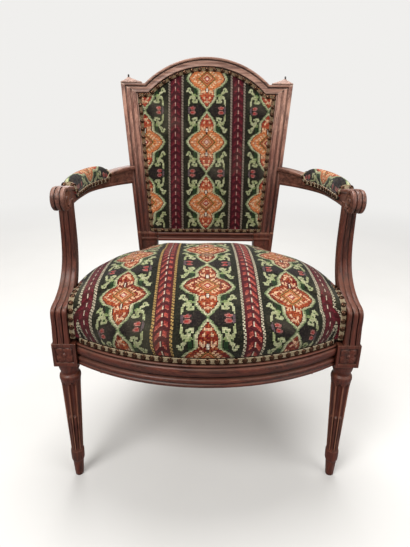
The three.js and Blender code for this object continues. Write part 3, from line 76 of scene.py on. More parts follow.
# Back
back_y, back_z, recline = 388, 400, math.radians(9.6)
back_thickness = 30
stile_low_outer, stile_lean = 182, 0.0901
stile_low_face, stile_growth = 34, 0.0135
back_rebate_depth = 7
stile_rebate_share, crest_rebate_share, lower_rebate_share = 1.353, 1.522, 1.5
shoulder_v, crest_rise, arch_radius, crest_face = 418, 64, 230, 23
groove_depth = 4
lower_rail_bottom_v, lower_rail_top_v = 16, 39
plinth_inner, plinth_thickness, plinth_chamfer, plinth_band_share = 129, 40, 1.2, 0.29
arch_middle_v = shoulder_v + crest_rise - arch_radius
cap_height, cap_edge, cap_apex_share = 17, 3, 0.66
cap_shares = [0, 0, 0.05, 0.34, 0.58, 0.8, 0.9]
pin_radius, pin_rise = 2.2, 6
back_crown, back_margin, back_middle_v = 18, 12, 240

# Arms
arm_width = 27
scroll_radius, scroll_width, scroll_y, rib_depth = 21, 25.5, 38, 2.2
arm_under, arm_height, arm_end_rise = 566, 36, 9
scroll_z = arm_under + 30
arm_under_front = scroll_z - 18
arm_top_middle = arm_under + arm_height
arm_top_end = arm_top_middle + arm_end_rise
arm_front_x, arm_bow_x = 262.8, 275.5
arm_fall, arm_level_share = 113, 0.75
pad_front_y, pad_back_y = 111, 354
pad_seat_drop, pad_crown, pad_skirt = 9, 27, 13
pad_half, pad_wall_share = 12.9, 0.3
arm_side_shares = [
    (0.8, 0), (0.96, 0.015), (1, 0.05), (1, 0.13), (0.96, 0.17), (0.86, 0.185), (0.84, 0.22), (0.84, 0.66),
    (0.86, 0.7), (0.8, 0.715), (0.8, 0.745), (0.9, 0.77), (0.99, 0.82), (1, 0.88), (0.95, 0.95), (0.8, 0.99),
    (0.5, 1),
]
arm_plan_shares = [
    (0.882, 0.066), (0.929, 0.152), (0.977, 0.296), (1, 0.513),
    (0.89, 0.661), (0.708, 0.775), (0.495, 0.868), (0.182, 0.955),
]

# Arm supports
support_bottom_width, support_top_width = 32, 25
support_bottom_x, support_top_x = 273, 263.8
support_sweep = 88
support_rise = arm_under_front - block_top + 12
support_front_shares = [
    (0, 0), (0, 0.14), (0, 0.272), (0.34, 0.312), (0.62, 0.362), (0.84, 0.44),
    (0.96, 0.54), (1, 0.67), (0.98, 0.8), (0.95, 0.92), (0.94, 1),
]
support_rear_shares = [
    (0.5, 0), (0.5, 0.07), (0.54, 0.14), (0.74, 0.25), (0.94, 0.325), (1.08, 0.42),
    (1.16, 0.53), (1.19, 0.67), (1.17, 0.8), (1.14, 0.92), (1.13, 1),
]

# Webbing and springs
strap_width, strap_thickness, strap_rear_share = 56, 1.5, 0.54
long_strap_places, cross_strap_places = (-171, -57, 57, 171), (62, 160, 258)
spring_places = ((0, 168), (-92, 84), (92, 84), (-74, 250), (74, 250))
spring_turns, spring_wire, spring_radius, spring_waist, spring_foot, spring_rise = 4, 2.0, 36, 9, 2.3, 72
hessian_rise = 36

# Upholstery
seat_middle_y, seat_crown, seat_bulge = 150, 107, 5.8
seat_side, seat_front, seat_rear = (80, 3), (49, 1.8), (52, 1.9)
seat_turn, seat_rim_share, seat_columns = 5, 1.5, 264
tack_corner, tack_rear_y = [(249.2, -15.3), (258.2, -14), (269, -9), (274.5, 6)], 398
cover_thickness, seat_pucker, seat_lumps = 1.8, 0.9, 1.5
cover_thickness_back, back_pucker, back_lumps = 1.5, 0.7, 0.8
seat_wall_shares = [(0, 0), (0.5, 0.12), (0.9, 0.3), (1, 0.48), (0.9, 0.66), (0.4, 0.82), (-0.6, 0.94)]

# Braid and nails
braid_width, back_braid_width, braid_thickness = 11, 9, 1.2
braid_step, braid_ripple, braid_cord, braid_edge = 1.4, 2.8, 2.6, 3.6
braid_shares = [
    (-1, 0), (-0.97, 0.8), (-0.85, 1.35), (-0.6, 1.0), (-0.25, 1.15), (0, 1.3), (0.25, 1.15), (0.6, 1.0),
    (0.85, 1.35), (0.97, 0.8), (1, 0),
]
nail_radius, nail_rise = 5.2, 3.4
seat_nail_pitch, back_nail_pitch, arm_nail_pitch = 16.5, 19.4, 18
nail_shares = ((0.9, 0.0), (1.0, 0.12), (0.99, 0.25), (0.9, 0.52), (0.72, 0.76), (0.46, 0.93), (0.2, 0.99))

# Needlepoint
cloth_period_u, cloth_period_v = 159, 165
stitch, seat_stripe_half = 2.4, 19
# Half width of a medallion as a share of its greatest, by height as a share of half a period
medallion_half, petal_step = 52.5, 19.6
medallion_reach = [
    (0, 1), (0.056, 0.965), (0.16, 0.86), (0.245, 0.74), (0.29, 0.6), (0.33, 0.5), (0.375, 0.455), (0.46, 0.46),
    (0.55, 0.475), (0.64, 0.43), (0.73, 0.345), (0.83, 0.225), (0.92, 0.105), (1, 0.02),
]
# How far the pattern lies forward of the seat's middle, and how the cloth is drawn forwards and in at its sides
seat_cloth_shift, seat_cloth_sag, seat_cloth_gather, seat_cloth_narrowing = 295.0, 21.0, 0.1, 0.001
back_cloth_stretch, back_cloth_middle = 1.058, 274
# The pads' medallion lies towards the back and the outside
pad_cloth_aside, pad_cloth_middle_y = 4, 247
cover_cloth = {
    "quality": 4, "mass": 0.4, "tension_stiffness": 18, "compression_stiffness": 18, "shear_stiffness": 6,
    "bending_stiffness": 1.2, "air_damping": 6, "use_pressure": True, "vertex_group_mass": "tacked",
}
settle_frames = 14

# Stage, in metres, and the camera from the photograph's calibration, in degrees and millimetres
floor_reach = 12.0
camera_pitch, camera_roll, camera_heading, chair_turn = 21.01, -0.73, -0.07, 0.7
camera_spot, camera_lens = (-6.3, -696.0, 738.3), 27.2


# Helpers for shapes


def place(points):
    """Millimetres from the front legs' axis to metres in the frame."""
    made = np.asarray(points, float).reshape(-1, 3).copy()
    made[:, 1] += row_shift
    return made * MM


def rounded(points, rounds=2):
    """Corner cutting on an open line of points; the two ends stay."""
    line = np.asarray(points, float)
    for _ in range(rounds):
        a, b = line[:-1], line[1:]
        cut = np.stack([a * 0.75 + b * 0.25, a * 0.25 + b * 0.75], 1).reshape(-1, line.shape[1])
        line = np.vstack([line[:1], cut, line[-1:]])
    return line


def lengths_of(line):
    return np.concatenate([[0], np.cumsum(np.linalg.norm(np.diff(line, axis=0), axis=1))])


def points_at(line, run, at):
    """Points of a line at given distances along it."""
    return np.stack([np.interp(at, run, line[:, k]) for k in range(line.shape[1])], -1)


def resampled(line, count):
    """The same line with evenly spaced points."""
    run = lengths_of(line)
    return points_at(line, run, np.linspace(0, run[-1], count))


def smooth_share(share):
    s = np.clip(share, 0, 1)
    return s * s * (3 - 2 * s)


def unit(vectors):
    return vectors / np.linalg.norm(vectors, axis=-1, keepdims=True)


class Shape:
    """Points and faces gathered from grids."""

    def __init__(self):
        self.points, self.faces, self.cloth, self.count = [], [], [], 0

    def grid(self, grid, around=False, along=False, caps=False, cloth=None):
        """Rows of points joined by quads. around closes each row and along closes the rows."""
        rows, cols = grid.shape[:2]
        base = self.count
        self.points.append(grid.reshape(-1, 3))
        self.cloth.append(np.zeros((rows * cols, 3)) if cloth is None else cloth.reshape(-1, 3))
        self.count += rows * cols
        for i in range(rows if along else rows - 1):
            this, after = base + i * cols, base + (i + 1) % rows * cols
            for j in range(cols if around else cols - 1):
                n = (j + 1) % cols
                self.faces.append((this + j, this + n, after + n, after + j))
        if caps:
            self.faces.append(tuple(base + j for j in reversed(range(cols))))
            self.faces.append(tuple(base + (rows - 1) * cols + j for j in range(cols)))
        return self

    def fan(self, ring, middle, cloth=None, cloth_middle=(0, 0, 0)):
        """A ring of points closed onto its middle."""
        base, count = self.count, len(ring)
        self.points += [ring, np.asarray(middle, float).reshape(1, 3)]
        self.cloth.append(np.zeros((count, 3)) if cloth is None else cloth)
        self.cloth.append(np.asarray(cloth_middle, float).reshape(1, 3))
        self.count += count + 1
        self.faces += [(base + j, base + (j + 1) % count, base + count) for j in range(count)]
        return self


def tube(grid, cloth=None):
    """Closed rows of points joined into one solid, with both ends capped."""
    return Shape().grid(grid, around=True, caps=True, cloth=cloth)


def worn_edges(thing, width, limit):
    edge = thing.modifiers.new("worn_edges", "BEVEL")
    edge.width, edge.segments, edge.limit_method = width * MM, 2, "ANGLE"
    edge.angle_limit = math.radians(limit)
    return edge


def make(name, shape, finish, replaces, slot, side=1, sharp=38, bevel=0.0, weld=0.0, limit=50, cloth=False):
    """One piece of the visual model from a shape, riding on the chair's only body."""
    points = np.vstack(shape.points).copy()
    points[:, 0] *= side
    mesh = bpy.data.meshes.new(name)
    mesh.from_pydata([tuple(p) for p in place(points)], [], shape.faces)
    if cloth:
        layer = mesh.attributes.new("cloth", "FLOAT_VECTOR", "POINT")
        layer.data.foreach_set("vector", np.vstack(shape.cloth).astype(np.float32).ravel())
    bm = bmesh.new()
    bm.from_mesh(mesh)
    if weld:
        bmesh.ops.remove_doubles(bm, verts=bm.verts, dist=weld * MM)
    bmesh.ops.recalc_face_normals(bm, faces=bm.faces)
    bm.to_mesh(mesh)
    bm.free()
    mesh.shade_smooth()
    mesh.set_sharp_from_angle(angle=math.radians(sharp))
    piece = bpy.data.objects.new(name, mesh)
    bpy.context.collection.objects.link(piece)
    mesh.materials.append(finish)
    if bevel:
        worn_edges(piece, bevel, limit).harden_normals = True
    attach(piece, "root")
    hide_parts(*replaces)
    return piece


def make_pair(name, shape, finish, replaces, slot, **settings):
    """The right piece as given, and its mirror image on the left."""
    return [
        make(f"{word}_{name}", shape, finish, [f"{word}_{n}" for n in replaces], slot, side=side, **settings)
        for word, side in (("left", -1), ("right", 1))
    ]


# Plan curves shared with the part

rail_end_x = leg_spread - block_half
rail_end_y = -block_half + rail_set_back
bow_radius = (rail_end_x**2 + bow_depth**2) / (2 * bow_depth)
bow_middle_y = rail_end_y - bow_depth + bow_radius
rail_front_y = bow_middle_y - bow_radius


def rail_v(z):
    return (z - back_z) / math.cos(recline)


def stile_outer(v):
    return stile_low_outer + stile_lean * v


def stile_face(v):
    return stile_low_face + stile_growth * v


def on_back(u, v, n):
    """Across, up along the back and forwards out of it, to the chair's own axes."""
    u, v, n = np.broadcast_arrays(np.asarray(u, float), v, n)
    s, c = math.sin(recline), math.cos(recline)
    return np.stack([u, back_y + v * s - n * c, back_z + v * c + n * s], -1)


row_shift = -(rail_front_y + on_back(0, shoulder_v + crest_rise, -back_thickness)[1]) / 2


def front_y(x, behind):
    return bow_middle_y - np.sqrt((bow_radius - behind) ** 2 - np.asarray(x, float) ** 2)


rear_block_outer = stile_outer(rail_v(rail_bottom))
side_from = np.array([leg_spread + block_half - rail_set_back, block_half])
side_to = np.array([rear_block_outer - rail_set_back, rear_block_front])
side_chord = np.linalg.norm(side_to - side_from)
side_radius = (side_chord**2 / 4 + side_bow**2) / (2 * side_bow)
side_inwards = np.array([side_to[1] - side_from[1], side_from[0] - side_to[0]]) / side_chord
side_centre = (side_from + side_to) / 2 + side_inwards * (side_bow - side_radius)


def side_x(y, behind):
    return side_centre[0] + np.sqrt((side_radius - behind) ** 2 - (np.asarray(y, float) - side_centre[1]) ** 2)


# Materials


class Value:
    """A number in a node tree, so that patterns can be written as sums."""

    def __init__(self, net, socket):
        self.net, self.socket = net, socket


def as_operator(operation, swapped=False):
    def combined(value, *other):
        return value.net.math(operation, *((*other, value) if swapped else (value, *other)))

    return combined


for word, operation in {
    "add": "ADD", "radd": "ADD", "sub": "SUBTRACT", "mul": "MULTIPLY", "rmul": "MULTIPLY", "truediv": "DIVIDE",
    "abs": "ABSOLUTE", "lt": "LESS_THAN", "gt": "GREATER_THAN", "and": "MINIMUM", "or": "MAXIMUM",
}.items():
    setattr(Value, f"__{word}__", as_operator(operation))


Value.__rsub__ = as_operator("SUBTRACT", swapped=True)


class Net:
    """A material's node tree, the few words needed to write it, and the colour painted so far."""

    def __init__(self, name, roughness=0.6, **constants):
        self.material = bpy.data.materials.new(name)
        self.material.use_nodes = True
        self.tree = self.material.node_tree
        self.shader = self.tree.nodes["Principled BSDF"]
        for key, value in dict(constants, Roughness=roughness).items():
            self.shader.inputs[key.replace("_", " ")].default_value = value
        self.known, self.color = {}, None

    def put(self, socket, value):
        if isinstance(value, Value):
            value = value.socket
        if isinstance(value, bpy.types.NodeSocket):
            self.tree.links.new(value, socket)
        elif hasattr(socket.default_value, "__len__") and len(socket.default_value) == 4 and len(value) == 3:
            socket.default_value = (*value, 1)
        else:
            socket.default_value = value

    def node(self, kind, inputs=(), **settings):
        made = self.tree.nodes.new("ShaderNode" + kind)
        for key, value in settings.items():
            setattr(made, key, value)
        for key, value in dict(inputs).items():
            self.put(made.inputs[key], value)
        return made

    def math(self, operation, *terms):
        key = (operation, *[t.socket.as_pointer() if isinstance(t, Value) else t for t in terms])
        if key not in self.known:
            made = self.node("Math", dict(enumerate(terms)), operation=operation)
            self.known[key] = Value(self, made.outputs[0])
        return self.known[key]

    def mix(self, share, first, second, blend="MIX"):
        inputs = {0: share, 6: first, 7: second}
        return self.node("Mix", inputs, data_type="RGBA", blend_type=blend).outputs[2]

    def paint(self, share, shade, blend="MIX"):
        """Lays a shade over the colour painted so far."""
        self.color = self.mix(share, self.color, shade, blend)

    def noise(self, vector, scale, detail=3.0, rough=0.5, warp=0.0):
        inputs = {"Vector": vector, "Scale": scale, "Detail": detail, "Roughness": rough, "Distortion": warp}
        return Value(self, self.node("TexNoise", inputs).outputs["Fac"])

    def spread(self, value, low, high, to_low=0.0, to_high=1.0):
        inputs = {"Value": value, "From Min": low, "From Max": high, "To Min": to_low, "To Max": to_high}
        return Value(self, self.node("MapRange", inputs, interpolation_type="SMOOTHSTEP").outputs["Result"])

    def stretched(self, scale=(1, 1, 1)):
        """Object coordinates in metres, scaled."""
        where = self.node("TexCoord").outputs["Object"]
        return self.node("Mapping", {"Vector": where, "Scale": scale}).outputs[0]

    def parts(self, vector):
        apart = self.node("SeparateXYZ", {0: vector})
        return [Value(self, apart.outputs[k]) for k in range(3)]

    def joined(self, first, second):
        return self.node("CombineXYZ", {0: first, 1: second}).outputs[0]

    def cloth(self):
        """The piece's own cloth coordinates, in millimetres."""
        return self.node("Attribute", attribute_name="cloth", attribute_type="GEOMETRY").outputs["Vector"]

    def open_share(self, reach, **settings):
        """How little stands in the way of a point, within a reach."""
        return Value(self, self.node("AmbientOcclusion", {"Distance": reach}, samples=8, **settings).outputs["AO"])

    def done(self, height, distance, strength, roughness=None):
        """The material with its painted colour and its bump."""
        bump = self.node("Bump", {"Height": height, "Distance": distance, "Strength": strength})
        self.put(self.shader.inputs["Base Color"], self.color)
        self.put(self.shader.inputs["Normal"], bump.outputs[0])
        if roughness is not None:
            self.put(self.shader.inputs["Roughness"], roughness)
        return self.material


def tone(red, green, blue):
    """A colour as seen on a screen, 0 to 255, as the shader wants it."""
    return tuple(((c / 255 + 0.055) / 1.055) ** 2.4 if c > 10 else c / 255 / 12.92 for c in (red, green, blue))


def wood(name, axis, light=1.0, edge_wear_and_highlight=0.75):
    """Old stained beech with its grain along one axis: redder and darker near the floor and paler higher up, as
    painted light from above; pale on the edges, as wear and a painted highlight; pale on what faces up, as dust
    and a painted highlight from above; and darker in the hollows, as painted shade.
    """
    net = Net(name, Specular_IOR_Level=0.36, Coat_Weight=0.1, Coat_Roughness=0.3)
    where = net.stretched()
    lines = net.stretched([0.035 if k == axis else 1.0 for k in range(3)])
    fibre = net.noise(lines, 900.0, 5.0, 0.62)
    figure = net.noise(lines, 120.0, 4.0, 0.55, 0.6)
    patch = net.noise(where, 26.0, 4.0, 0.6)
    cloud = net.noise(where, 7.0, 2.0, 0.5)
    # Paler higher up and redder, darker near the floor: painted light falling from above
    height_light = net.spread(net.parts(where)[2] + patch * 0.08, 0.56, 0.78)

    # A colour near the floor mixed towards its paler colour higher up, where light from above is painted
    def lit_by_height(low, high):
        return net.mix(height_light, tone(*low), tone(*[c * light for c in high]))

    net.color = lit_by_height((44, 17, 11), (96, 62, 51))
    net.paint(net.spread(figure, 0.34, 0.62), lit_by_height((90, 38, 26), (168, 125, 106)))
    net.paint(net.spread(fibre, 0.46, 0.72) * 0.6, lit_by_height((140, 82, 58), (192, 158, 140)))
    net.paint(net.spread(fibre, 0.5, 0.3) * 0.55, tone(42, 22, 17))
    net.paint(net.spread(cloud, 0.42, 0.66) * 0.35, lit_by_height((92, 32, 18), (128, 68, 48)))
    # Paler on what faces up: dust, and a painted highlight from light above
    facing = net.parts(net.node("NewGeometry").outputs["Normal"])[2]
    dust_and_top_light = net.spread(facing, 0.02, 0.75) * net.spread(patch, 0.2, 0.6)
    net.paint(dust_and_top_light * 0.22, lit_by_height((156, 112, 88), (176, 150, 136)))
    # Paler on convex edges and bead ridges: wear, and a painted highlight
    ridge = net.open_share(3 * MM, inside=True, only_local=True)
    worn_and_lit_edges = net.spread(ridge, 0.85, 0.3) * net.spread(patch, 0.25, 0.55)
    net.paint(worn_and_lit_edges * edge_wear_and_highlight, lit_by_height((172, 116, 90), (212, 182, 162)))
    # Darker in grooves, hollows and recesses, by how enclosed a point is: painted shade
    for reach, strength in ((12 * MM, 0.42), (3.5 * MM, 0.8)):
        net.paint(net.spread(net.open_share(reach), 0.3, 0.95, strength, 0.0), tone(28, 13, 10))
    height = fibre * 0.5 + figure * 0.3 + patch * 0.8
    return net.done(height, 0.5 * MM, 0.6, net.spread(patch, 0.25, 0.8, 0.36, 0.58))


def plain_weave(name, color, other, pitch, stripe=None):
    """A simple over-and-under weave, with a coloured stripe where (place, half width, colour) is given."""
    net = Net(name, 0.9, Sheen_Weight=0.2, Sheen_Roughness=0.5, Specular_IOR_Level=0.15)
    flat = net.cloth()
    u, v, _ = net.parts(flat)
    weave = net.math("SINE", u * (2 * math.pi / pitch)) * net.math("SINE", v * (2 * math.pi / pitch))
    slub = net.noise(flat, 0.35, 4.0, 0.6)
    net.color = net.mix(net.spread(slub, 0.3, 0.75), color, other)
    net.paint(net.spread(weave, -0.2, 0.9) * 0.35, tuple(min(1, c * 1.7) for c in color))
    net.paint(net.spread(net.noise(flat, 0.03, 3.0, 0.5), 0.45, 0.75) * 0.3, other)
    if stripe:
        place_at, half, shade = stripe
        net.paint(abs(abs(u) - place_at) < half, shade)
    return net.done(weave * 0.5 + slub, 0.4 * MM, 0.8)


def metal(name, color, dull, roughness, rust):
    net = Net(name, roughness, Metallic=0.9)
    spots = net.noise(net.stretched(), 420.0, 4.0, 0.6)
    net.color = net.mix(net.spread(spots, 0.4, 0.7), color, dull)
    net.paint(net.spread(net.noise(net.stretched(), 60.0, 3.0, 0.6), 0.45, 0.7) * 0.5, rust)
    return net.done(spots, 0.15 * MM, 0.5, net.spread(spots, 0.3, 0.7, roughness - 0.08, roughness + 0.15))


def galon(name, dark, light, dust):
    """Furnishing braid: diagonal cords that cross in the middle."""
    net = Net(name, 0.85, Sheen_Weight=0.25, Sheen_Roughness=0.4, Specular_IOR_Level=0.2)
    flat = net.cloth()
    u, v, _ = net.parts(flat)
    cords = net.math("SINE", (u + abs(v) * 1.4) * (2 * math.pi / braid_cord))
    net.color = net.mix(net.spread(cords, -0.5, 0.8), dark, light)
    net.paint(net.spread(net.noise(flat, 0.12, 3.0, 0.6), 0.45, 0.7) * 0.6, dust)
    net.paint((abs(v) > braid_edge) * 0.5, light)
    return net.done(cords, 0.6 * MM, 0.9)


def needlepoint():
    """Striped and medallioned canvas work, drawn stitch by stitch on the cloth coordinates."""
    net = Net("needlepoint", 0.88, Sheen_Weight=0.12, Sheen_Roughness=0.35, Specular_IOR_Level=0.12)
    flat = net.cloth()
    raw_u, raw_v, on_the_back = net.parts(flat)
    cell_u, cell_v = (net.math("FLOOR", raw / stitch) for raw in (raw_u, raw_v))
    u, v = (cell_u + 0.5) * stitch, (cell_v + 0.5) * stitch
    waist = cloth_period_v / 2

    def folded(value, period):
        """Distance from the nearest whole period, with its sign."""
        return value - net.math("ROUND", value / period) * period

    def looped(value, period):
        return net.math("FLOORED_MODULO", value, period)

    across, up = folded(u, cloth_period_u), folded(v, cloth_period_v)
    a, b = abs(across), abs(up)
    corner = net.joined(a, b)

    def ovals(*rows):
        """1 inside any of the ellipses (x, y, half width, half height, turn), alike in a medallion's quarters."""
        found = []
        for x, y, half_wide, half_high, *turn in rows:
            place_of = {
                "Vector": corner, "Location": (x, y, 0), "Rotation": (0, 0, math.radians(sum(turn))),
                "Scale": (half_wide, half_high, 1),
            }
            moved = net.node("Mapping", place_of, vector_type="TEXTURE").outputs[0]
            size = net.node("VectorMath", {0: moved}, operation="LENGTH").outputs["Value"]
            found.append(Value(net, size) < 1.0)
        return functools.reduce(lambda one, other: one | other, found)

    reach = net.node("FloatCurve", {"Value": b / waist})
    curve = reach.mapping.curves[0]
    for at in medallion_reach[1:-1]:
        curve.points.new(*at)
    for index, at in enumerate(medallion_reach):
        curve.points[index].location = at
        curve.points[index].handle_type = "VECTOR"
    reach.mapping.update()
    edge = a - Value(net, reach.outputs[0]) * medallion_half
    diamond = a + b

    cell = net.joined(cell_u, cell_v)
    chance = Value(net, net.node("TexWhiteNoise", {"Vector": cell}).outputs["Value"])
    drift = net.noise(flat, 0.012, 2.0, 0.5)
    patchy = net.noise(flat, 0.05, 3.0, 0.5)
    grain = net.spread(net.noise(cell, 0.7, 2.0, 0.7), 0.35, 0.65)

    def between(low_tone, high_tone):
        return net.mix(net.spread(patchy, 0.38, 0.62), tone(*low_tone), tone(*high_tone))

    def by_part(on_seat, on_back):
        return net.mix(on_the_back, tone(*on_seat), tone(*on_back))

    # Ground, greener beside the medallions and purple beside their waists
    net.color = net.mix(ovals((20, waist, 26, 15)), tone(29, 30, 20), tone(36, 27, 29))
    net.paint(grain * chance * 0.32, tone(88, 82, 58))
    net.paint(ovals((33, 35, 7, 9)) & (edge < 9.0), tone(40, 66, 36))

    # Sprigs of pale leaves in each quarter
    leaves = ovals(
        (41.5, 36.5, 3.8, 7.8, 38), (34, 50, 4.4, 9.4, 24), (41.5, 49, 3.6, 7.4, -32), (46, 62, 2.9, 9.4, -8),
        (46, 29.5, 5.6, 5.2), (29.5, 59.5, 6.4, 5.6), (35.5, 60.5, 3.2, 2.8), (50.5, 33, 2.6, 2.2),
    )
    leaf_shade = between((186, 190, 138), (218, 216, 172))
    net.paint(ovals((32, 44.5, 6.2, 3.8, -12)), tone(146, 164, 104))
    net.paint(leaves, net.mix((chance > 0.66) * 0.4, leaf_shade, tone(150, 166, 112)))
    net.paint(ovals((45, 31, 1.9, 1.7), (30.5, 57, 2.0, 2.4), (39.5, 43, 1.7, 2.6)), tone(66, 92, 46))

    # Twin buds and the thin stalk that joins them
    net.paint(ovals((45.5, waist, 2.2, 11)), tone(106, 88, 92))
    net.paint(ovals((36, 76.6, 6.4, 4.6), (36, 88.4, 6.4, 4.6)), between((166, 104, 100), (190, 124, 112)))
    net.paint(ovals((37, 77.2, 3.6, 2.6), (37, 87.8, 3.6, 2.6)), tone(188, 62, 58))

    # Medallion: sage and cream outline, dark line, warm fill
    net.paint(edge < 0.6, between((132, 152, 104), (158, 170, 124)))
    net.paint(edge < -2.2, between((192, 192, 148), (222, 214, 174)))
    net.paint(edge < -6.6, tone(92, 34, 28))
    inside = edge < -8.4
    seat_fill = net.mix(net.spread(drift, 0.42, 0.6), tone(128, 30, 26), tone(176, 70, 36))
    back_fill = net.mix(net.spread(b, 24.0, 52.0), tone(234, 138, 84), tone(192, 70, 52))
    warm = net.mix(on_the_back, seat_fill, back_fill)
    net.paint(inside, net.mix((chance > 0.7) * 0.35, warm, tone(222, 132, 72)))
    cream = by_part((246, 198, 158), (250, 204, 160))
    spots = ovals((9.5, 20, 5.2, 2.6, 45), (20.5, 10, 5.2, 2.6, 45), (15.5, 15.5, 5.6, 1.8, 45))
    net.paint(spots & inside, cream)
    for half_size, shade in (
        (24.4, (196, 142, 74)), (22.0, (74, 64, 36)), (19.4, (216, 126, 74)), (15.4, (166, 56, 44)),
        (13.6, (238, 186, 132)), (9.0, (184, 58, 48)), (5.2, (250, 208, 186)),
    ):
        net.paint((diamond < half_size) & inside, tone(*shade))
    net.paint(ovals((35, 0, 5.6, 3.1), (29.5, 7.2, 4.8, 2.4, -32)) & inside, cream)
    net.paint(ovals((33, 0, 2.4, 1.8)) & inside, tone(176, 64, 50))
    flower = ovals(
        (6.6, 35, 2.2, 6.0, 12), (12, 36.5, 2.3, 5.2, -12), (16.5, 31, 2.0, 3.6, -45),
        (0, 58, 3.2, 5.4), (6.8, 51.5, 2.3, 5.0, 28), (5.6, 61, 2.0, 3.2, -24),
    )
    net.paint(flower & inside, cream)
    net.paint(ovals((0, 55, 1.6, 2.2), (9.8, 39, 1.2, 2.0)) & inside, tone(180, 56, 46))
    net.paint(ovals((0, 30.5, 3.8, 8.4)) & inside, tone(84, 36, 28))
    net.paint(ovals((0, 30.5, 1.8, 6.6)) & inside, tone(238, 226, 206))

    # Stripes half way between the medallions
    beside = folded(u - cloth_period_u / 2, cloth_period_u)
    off = abs(beside)
    climb = looped(v + off * 1.1, petal_step)
    stripe = by_part((78, 20, 32), (92, 28, 34))
    net.color = net.mix(off < 17.5, net.color, by_part((92, 28, 34), (78, 20, 32)))
    petal = (climb < 9.8) & ((off > 3.0) & (off < 11.0))
    plainer = on_the_back | (abs(u) > 190.0)
    rosy = net.mix(plainer, between((162, 52, 50), (206, 94, 80)), tone(112, 28, 42))
    net.paint(petal, net.mix((beside < 0.0) * 0.35, rosy, tone(104, 30, 38)))
    net.paint(petal & (climb < 3.0), net.mix(plainer, tone(206, 112, 92), tone(138, 44, 54)))
    dash = (looped(v + 4.0, petal_step) < 9.8) & (off < 1.5)
    net.paint(dash, by_part((232, 212, 188), (206, 160, 146)))
    rope = abs(off - 16.4) < 2.5
    gold = (abs(u + cloth_period_u / 2) < cloth_period_u / 4) & (on_the_back < 0.5)
    strand = net.mix(gold, by_part((218, 206, 176), (176, 158, 140)), tone(206, 166, 98))
    net.paint(rope, tone(36, 32, 26))
    net.paint(rope & (looped(cell_v + cell_u, 3.0) < 1.5), strand)

    # Thread: each stitch and each second row a little darker, with dark holes between stitches
    vary = net.node("CombineColor", {k: chance * 0.46 + grain * 0.4 + 0.54 for k in range(3)}).outputs[0]
    net.paint(1.0, vary, "MULTIPLY")
    net.paint((looped(cell_v, 2.0) < 1.0) * 0.22, tone(24, 20, 16))
    local_u, local_v = (net.math("FRACT", raw / stitch) - 0.5 for raw in (raw_u, raw_v))
    thread = net.spread(abs(local_u - local_v), 0.5, 0.05) * net.spread(abs(local_u + local_v), 0.95, 0.5)
    net.paint(net.spread(thread, 0.0, 0.5, 0.62, 0.0), tone(22, 20, 16))
    net.paint(net.spread(net.noise(flat, 0.008, 3.0, 0.55), 0.5, 0.72) * 0.1, tone(176, 168, 140))
    return net.done(thread + patchy * 0.5, 0.55 * MM, 0.9)


wood_x = wood("wood_across", 0)
wood_y = wood("wood_deep", 1)
wood_z = wood("wood_upright", 2)
wood_stile = wood("wood_stiles", 2, 1.16)
# Little edge paleness on the arms: worn edges with their painted highlight kept faint
wood_arm = wood("wood_arms", 1, edge_wear_and_highlight=0.12)
tapestry = needlepoint()
braid_cloth = galon("galon", tone(122, 98, 68), tone(208, 188, 150), tone(128, 100, 72))
back_braid_cloth = galon("galon_dusty", tone(86, 64, 44), tone(176, 148, 108), tone(100, 74, 52))
nail_metal = metal("nail_bronze", tone(92, 64, 46), tone(38, 25, 19), 0.19, tone(62, 36, 25))
steel = metal("steel", tone(84, 80, 78), tone(44, 41, 40), 0.4, tone(70, 46, 36))
outside_cloth = plain_weave("outside_cloth", tone(36, 44, 36), tone(52, 60, 48), 1.6)
backdrop = tone(240, 239, 237)
jute = plain_weave("jute_webbing", tone(150, 122, 82), tone(122, 96, 62), 3.0, (21, 1.6, tone(120, 52, 40)))
linen = plain_weave("hessian", tone(168, 144, 104), tone(140, 116, 80), 2.4)


# Frame


def turned_leg(shape, x, y, top, lean_x, lean_y):
    """A fluted leg turned on the lathe, its foot flat and moved by the lean, with cables low in the flutes."""
    profile = rounded([(r * leg_radius, h * top) for r, h in turned_shares], 2)
    foot, head, cable = flute_foot_share * top, flute_head_share * top, cable_share * top
    dense = [np.linspace(foot - 3, head + 3, 60), cable + np.linspace(-5, 5, 9)]
    heights = np.unique(np.concatenate([profile[:, 1], *dense]))
    radii = np.interp(heights, profile[:, 1], profile[:, 0])
    half = flute_angle * np.array([1, 0.94, 0.84, 0.68, 0.42])
    pitch = 2 * math.pi / flute_count
    one = np.concatenate([-half, [0], half[::-1], [pitch * 0.45, pitch * 0.5, pitch * 0.55]])
    angles = np.concatenate([one + (i + 0.5) * pitch for i in range(flute_count)])
    across = np.concatenate([np.where(abs(one) <= flute_angle + 1e-9, one / flute_angle, 2)] * flute_count)
    radius, turn = np.meshgrid(radii, angles, indexing="ij")
    z, t = np.meshgrid(heights, across, indexing="ij")
    to_end = np.minimum(z - foot, head - z)
    ends = np.sqrt(np.clip(1 - np.clip(1 - to_end / (radius * flute_angle), 0, 1) ** 2, 0, 1)) * (to_end > 0)
    share = np.clip(abs(t) / np.maximum(ends, 1e-6), 0, 1)
    depth = flute_depth_share * radius
    groove = np.where(ends > 0, depth * np.sqrt(1 - share**2), 0)
    bead = depth * (0.95 * np.sqrt(np.clip(1 - (abs(t) / 0.72) ** 2, 0, 1)))
    groove = groove - np.minimum(bead, groove) * smooth_share((cable - z + 3) / 6) * 0.92
    reach = radius - np.where(abs(t) <= 1, groove, 0)
    lean = 1 - z / top
    grid = np.stack([x + reach * np.cos(turn) + lean_x * lean, y + reach * np.sin(turn) + lean_y * lean, z], -1)
    return shape.grid(grid, around=True, caps=True)


